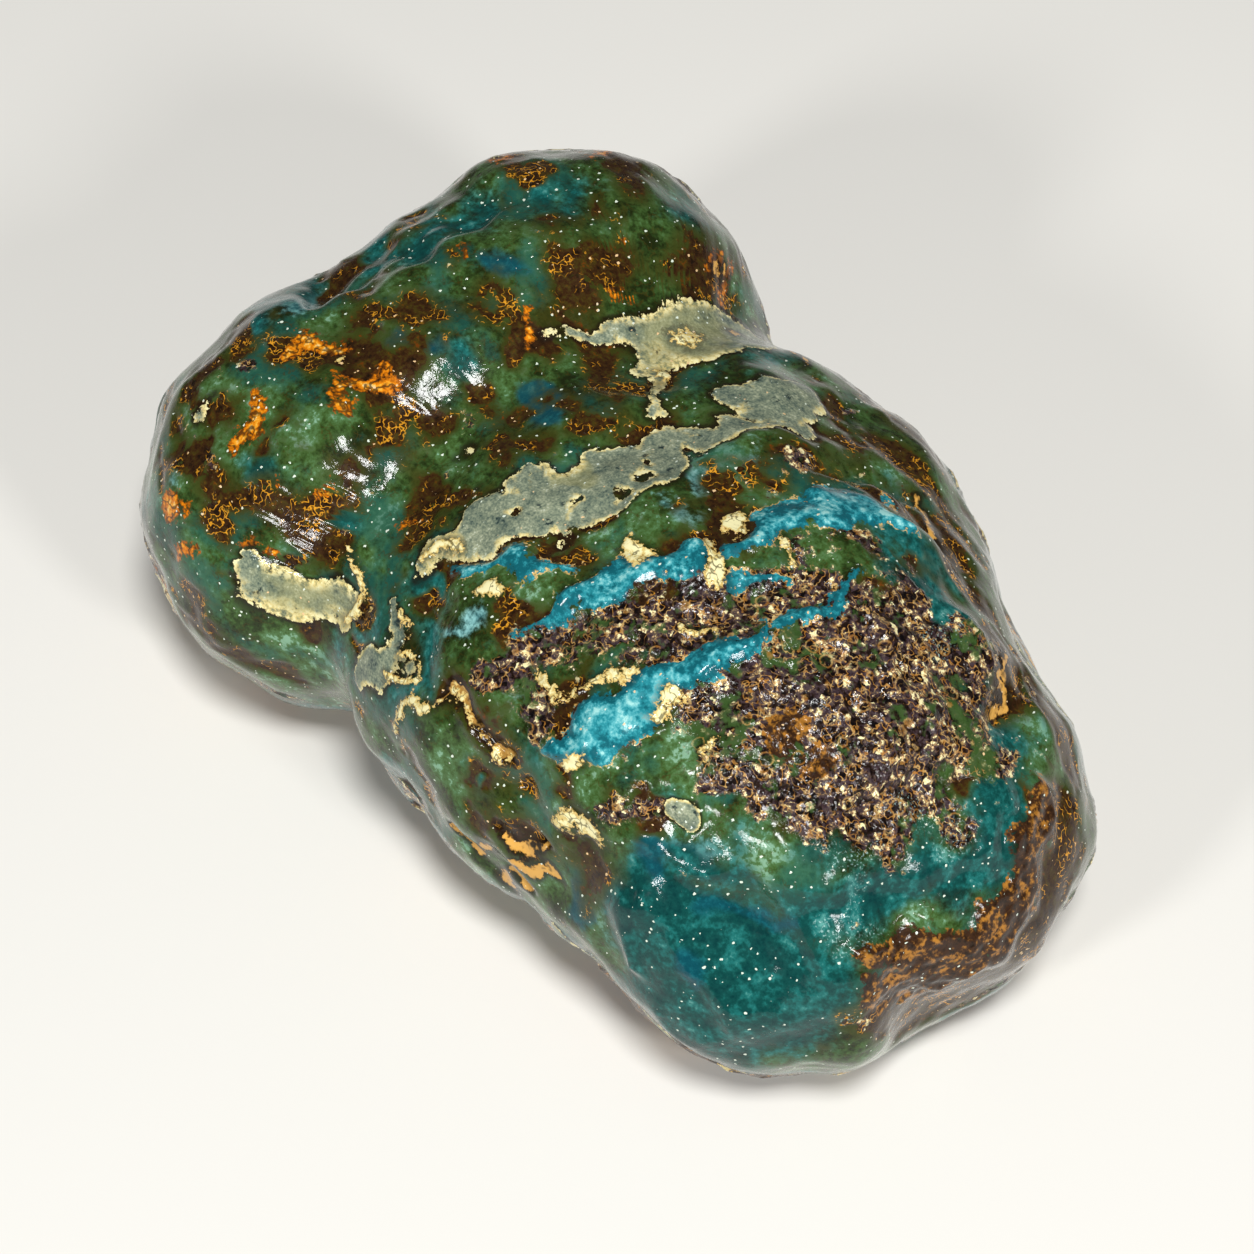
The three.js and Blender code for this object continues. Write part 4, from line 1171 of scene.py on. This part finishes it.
class AmberLook(bpy.types.PropertyGroup):
    """Colours of the nodule's marks."""

    stone_deep: colour_property("Deep stone", "Green stone, deepest", rgb(26, 34, 10))
    stone_dark: colour_property("Dark stone", "Green stone, darker", rgb(38, 56, 22))
    stone: colour_property("Stone", "Green stone", rgb(56, 82, 38))
    stone_pale: colour_property("Pale stone", "Green stone, paler", rgb(74, 108, 66))
    stone_frost: colour_property("Frosted stone", "Green stone, palest", rgb(118, 156, 128))
    stone_blue: colour_property("Blue stone", "Green stone, bluer", rgb(28, 84, 74))
    teal_deep: colour_property("Deep teal", "Blue-green fields, deepest", rgb(6, 50, 50))
    teal_dark: colour_property("Dark teal", "Blue-green fields, darker", rgb(12, 66, 62))
    teal: colour_property("Teal", "Blue-green fields", rgb(26, 98, 94))
    teal_pale: colour_property("Pale teal", "Blue-green fields, paler", rgb(86, 148, 140))
    # Frosting, partly painted sparkle of light.
    teal_frost_and_glint: colour_property("Teal frost", "Frosting on the fields", rgb(168, 204, 198))
    # Deep blue pools, also used for the painted shade at the chin.
    pool: colour_property("Pool", "Deep blue pools", rgb(8, 66, 78))
    rib: colour_property("Rib", "Crown of the cyan ribs", rgb(38, 130, 140))
    rib_deep: colour_property("Rib edge", "Edges of the cyan ribs", rgb(16, 88, 98))
    rib_light: colour_property("Light rib", "Lighter clouds in the ribs", rgb(84, 164, 170))
    rib_pale: colour_property("Pale rib", "Palest clouds in the ribs", rgb(148, 202, 198))
    umber: colour_property("Umber", "Darkest stains", rgb(25, 15, 7))
    brown: colour_property("Brown", "Main stains", rgb(52, 31, 12))
    olive_brown: colour_property("Olive brown", "Olive stains", rgb(60, 50, 14))
    rust: colour_property("Rust", "Redder stains", rgb(96, 48, 8))
    olive: colour_property("Olive", "Edges of the stains", rgb(54, 54, 16))
    orange: colour_property("Orange", "Flecks, redder", rgb(204, 116, 10))
    gold: colour_property("Gold", "Flecks and crinkles", rgb(224, 156, 40))
    pink_cream: colour_property("Pink cream", "Hearts of the flecks", rgb(236, 206, 140))
    rind_dark: colour_property("Dark rind", "Grey rind, darker", rgb(80, 94, 84))
    rind: colour_property("Rind", "Grey rind", rgb(114, 124, 104))
    rind_pale: colour_property("Pale rind", "Grey rind, paler", rgb(152, 158, 132))
    rind_warm: colour_property("Warm rind", "Grey rind, warmer", rgb(148, 142, 84))
    rind_pit: colour_property("Rind pit", "Small pits in the rind", rgb(24, 40, 44))
    cream: colour_property("Cream", "Chips", rgb(230, 222, 170))
    cream_dim: colour_property("Dim cream", "Edges of chips and rind", rgb(204, 184, 116))
    cream_gold: colour_property("Golden cream", "Strands and hems of chips", rgb(206, 156, 76))
    tan: colour_property("Tan", "Rims and hems", rgb(208, 172, 108))
    grain: colour_property("Grain", "Granular floor", rgb(76, 64, 58))
    grain_purple: colour_property("Purple grain", "Granular floor, cooler", rgb(58, 45, 51))
    grain_brown: colour_property("Brown grain", "Granular floor, browner", rgb(35, 22, 15))
    grain_dark: colour_property("Dark grain", "Granular floor, darkest", rgb(11, 7, 8))
    grain_tan: colour_property("Tan grain", "Granular floor, palest", rgb(152, 122, 84))
    grain_gold: colour_property("Gold grain", "Curls in the floor", rgb(176, 118, 48))
    crust: colour_property("Crust", "Crust on the heel", rgb(54, 33, 17))
    crust_purple: colour_property("Purple crust", "Crust, cooler", rgb(46, 28, 20))
    crust_green: colour_property("Green crust", "Crust, greener", rgb(45, 60, 36))
    crust_gold: colour_property("Gold crust", "Crinkles of the crust", rgb(160, 108, 40))
    # Pale specks, used also for the painted glints.
    pale_speck_and_glint: colour_property("Speck", "Pale specks", rgb(206, 216, 200))


class AmberStage(bpy.types.PropertyGroup):
    """The floor, lights and camera."""

    floor: colour_property("Floor", "Pale floor", rgb(222, 220, 214))
    world: colour_property("Surroundings", "Soft light all round", rgb(206, 210, 214))
    world_strength: FloatProperty(
        name="Surround strength", description="Strength of the light all round", default=0.11,
        min=0, max=5)
    key_power: FloatProperty(
        name="Key power", description="Power of the small key light", default=2.3, min=0,
        max=50, subtype="POWER")
    fill_power: FloatProperty(
        name="Fill power", description="Power of the low light", default=0.9, min=0,
        max=50, subtype="POWER")
    lens: FloatProperty(
        name="Lens", description="Focal length in millimetres", default=100, min=20, max=300)
    distance: FloatProperty(
        name="Distance", description="From the camera to the nodule's middle", default=0.19,
        min=0.05, max=2, unit="LENGTH")


# ---- the operators ----

# Lights: the way each shines from, its size in metres, whose power it takes and how much of it.
LIGHTS = {
    "key": ((0.35, -0.2, 0.9), 0.12, "key_power", 1),
    "side_key": ((0.85, -0.05, 0.5), 0.08, "key_power", 0.4),
    "fill": ((0.15, -0.85, 0.5), 0.08, "fill_power", 1),
}
LIGHT_DISTANCE, FLOOR_HALF, FLOOR_ROUGHNESS = 0.5, 0.9, 0.9
SENSOR_WIDTH, CLIP_START = 36, 0.01


class AMBER_OT_nodule(bpy.types.Operator):
    """Make the nodule with its skin, marks and gloss."""

    bl_idname = "amber.nodule"
    bl_label = "Nodule"
    bl_options = {"REGISTER", "UNDO"}

    def execute(self, context):
        """Build the nodule from the settings."""
        shape = context.scene.amber_shape
        points, quads, fields = nodule_surface(shape.cells, shape.fineness)
        if not np.isfinite(points).all():
            raise ValueError("the skin has places that no ray reached")
        piece = put_mesh("amber_nodule", seat(points), quads, fields)
        piece.data.materials.append(amber_skin(context.scene.amber_look))
        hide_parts(NODE)
        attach(piece, BODY)
        return {"FINISHED"}


def seat(points):
    """Points in metres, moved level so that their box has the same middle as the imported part's."""
    low, high = (np.array(corner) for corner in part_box(NODE))
    middle = (points.min(0) + points.max(0)) / 2 * MM
    shift = (low + high) / 2 - middle
    shift[2] = 0
    return points * MM + shift


def aim(thing, place, target):
    """Put an object at a place, with its -Z axis towards the target."""
    thing.location = place
    thing.rotation_euler = (target - place).to_track_quat("-Z", "Y").to_euler()
    bpy.context.scene.collection.objects.link(thing)


def area_light(name, direction, size, power, target):
    """A round soft light that shines on the target from a direction."""
    light = bpy.data.lights.new(name, "AREA")
    light.shape = "DISK"
    light.size = size
    light.energy = power
    place = target + Vector(direction).normalized() * LIGHT_DISTANCE
    aim(bpy.data.objects.new(name, light), place, target)


class AMBER_OT_stage(bpy.types.Operator):
    """Make the floor, the soft lights and the camera."""

    bl_idname = "amber.stage"
    bl_label = "Stage"
    bl_options = {"REGISTER", "UNDO"}

    def execute(self, context):
        """Build the stage from the settings."""
        scene = context.scene
        stage = scene.amber_stage
        low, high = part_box(NODE)
        target = Vector(((low[0] + high[0]) / 2, (low[1] + high[1]) / 2, 0))
        target += Vector(AIM) * MM

        half = FLOOR_HALF
        mesh = bpy.data.meshes.new("floor")
        corners = [(-half, -half, 0), (half, -half, 0), (half, half, 0), (-half, half, 0)]
        mesh.from_pydata(corners, [], [(0, 1, 2, 3)])
        mesh.materials.append(plain_finish("floor_paint", stage.floor, FLOOR_ROUGHNESS))
        floor = bpy.data.objects.new("floor", mesh)
        scene.collection.objects.link(floor)

        world = bpy.data.worlds.new("surroundings")
        world.use_nodes = True
        sky = world.node_tree.nodes["Background"].inputs
        sky["Color"].default_value = stage.world
        sky["Strength"].default_value = stage.world_strength
        scene.world = world
        scene.view_settings.view_transform = "Standard"

        for name, (direction, size, power, share) in LIGHTS.items():
            area_light(name, direction, size, getattr(stage, power) * share, target)

        lens = bpy.data.cameras.new("camera")
        lens.lens = stage.lens
        lens.sensor_width = SENSOR_WIDTH
        lens.clip_start = CLIP_START
        camera = bpy.data.objects.new("camera", lens)
        aim(camera, target + Vector(SHOW) * stage.distance, target)
        scene.camera = camera
        return {"FINISHED"}


class AMBER_PT_panel(bpy.types.Panel):
    """Lists the nodule, its stage and what can be changed."""

    bl_label = "Rough Blue Amber"
    bl_idname = "AMBER_PT_panel"
    bl_space_type = "VIEW_3D"
    bl_region_type = "UI"
    bl_category = "Amber"

    def draw(self, context):
        """The two operators, then every setting."""
        layout = self.layout
        layout.operator(AMBER_OT_nodule.bl_idname)
        layout.operator(AMBER_OT_stage.bl_idname)
        for group in (context.scene.amber_shape, context.scene.amber_look, context.scene.amber_stage):
            box = layout.box()
            for key in group.__annotations__:
                box.prop(group, key)


CLASSES = (AmberShape, AmberLook, AmberStage, AMBER_OT_nodule, AMBER_OT_stage, AMBER_PT_panel)


def register():
    """Add the classes, and the settings on every scene."""
    for each in CLASSES:
        bpy.utils.register_class(each)
    bpy.types.Scene.amber_shape = PointerProperty(type=AmberShape)
    bpy.types.Scene.amber_look = PointerProperty(type=AmberLook)
    bpy.types.Scene.amber_stage = PointerProperty(type=AmberStage)


def unregister():
    """Take the settings and the classes away again."""
    for key in ("amber_shape", "amber_look", "amber_stage"):
        delattr(bpy.types.Scene, key)
    for each in reversed(CLASSES):
        bpy.utils.unregister_class(each)


def main():
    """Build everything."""
    register()
    bpy.ops.amber.nodule()
    bpy.ops.amber.stage()


if __name__ == "__main__":
    main()
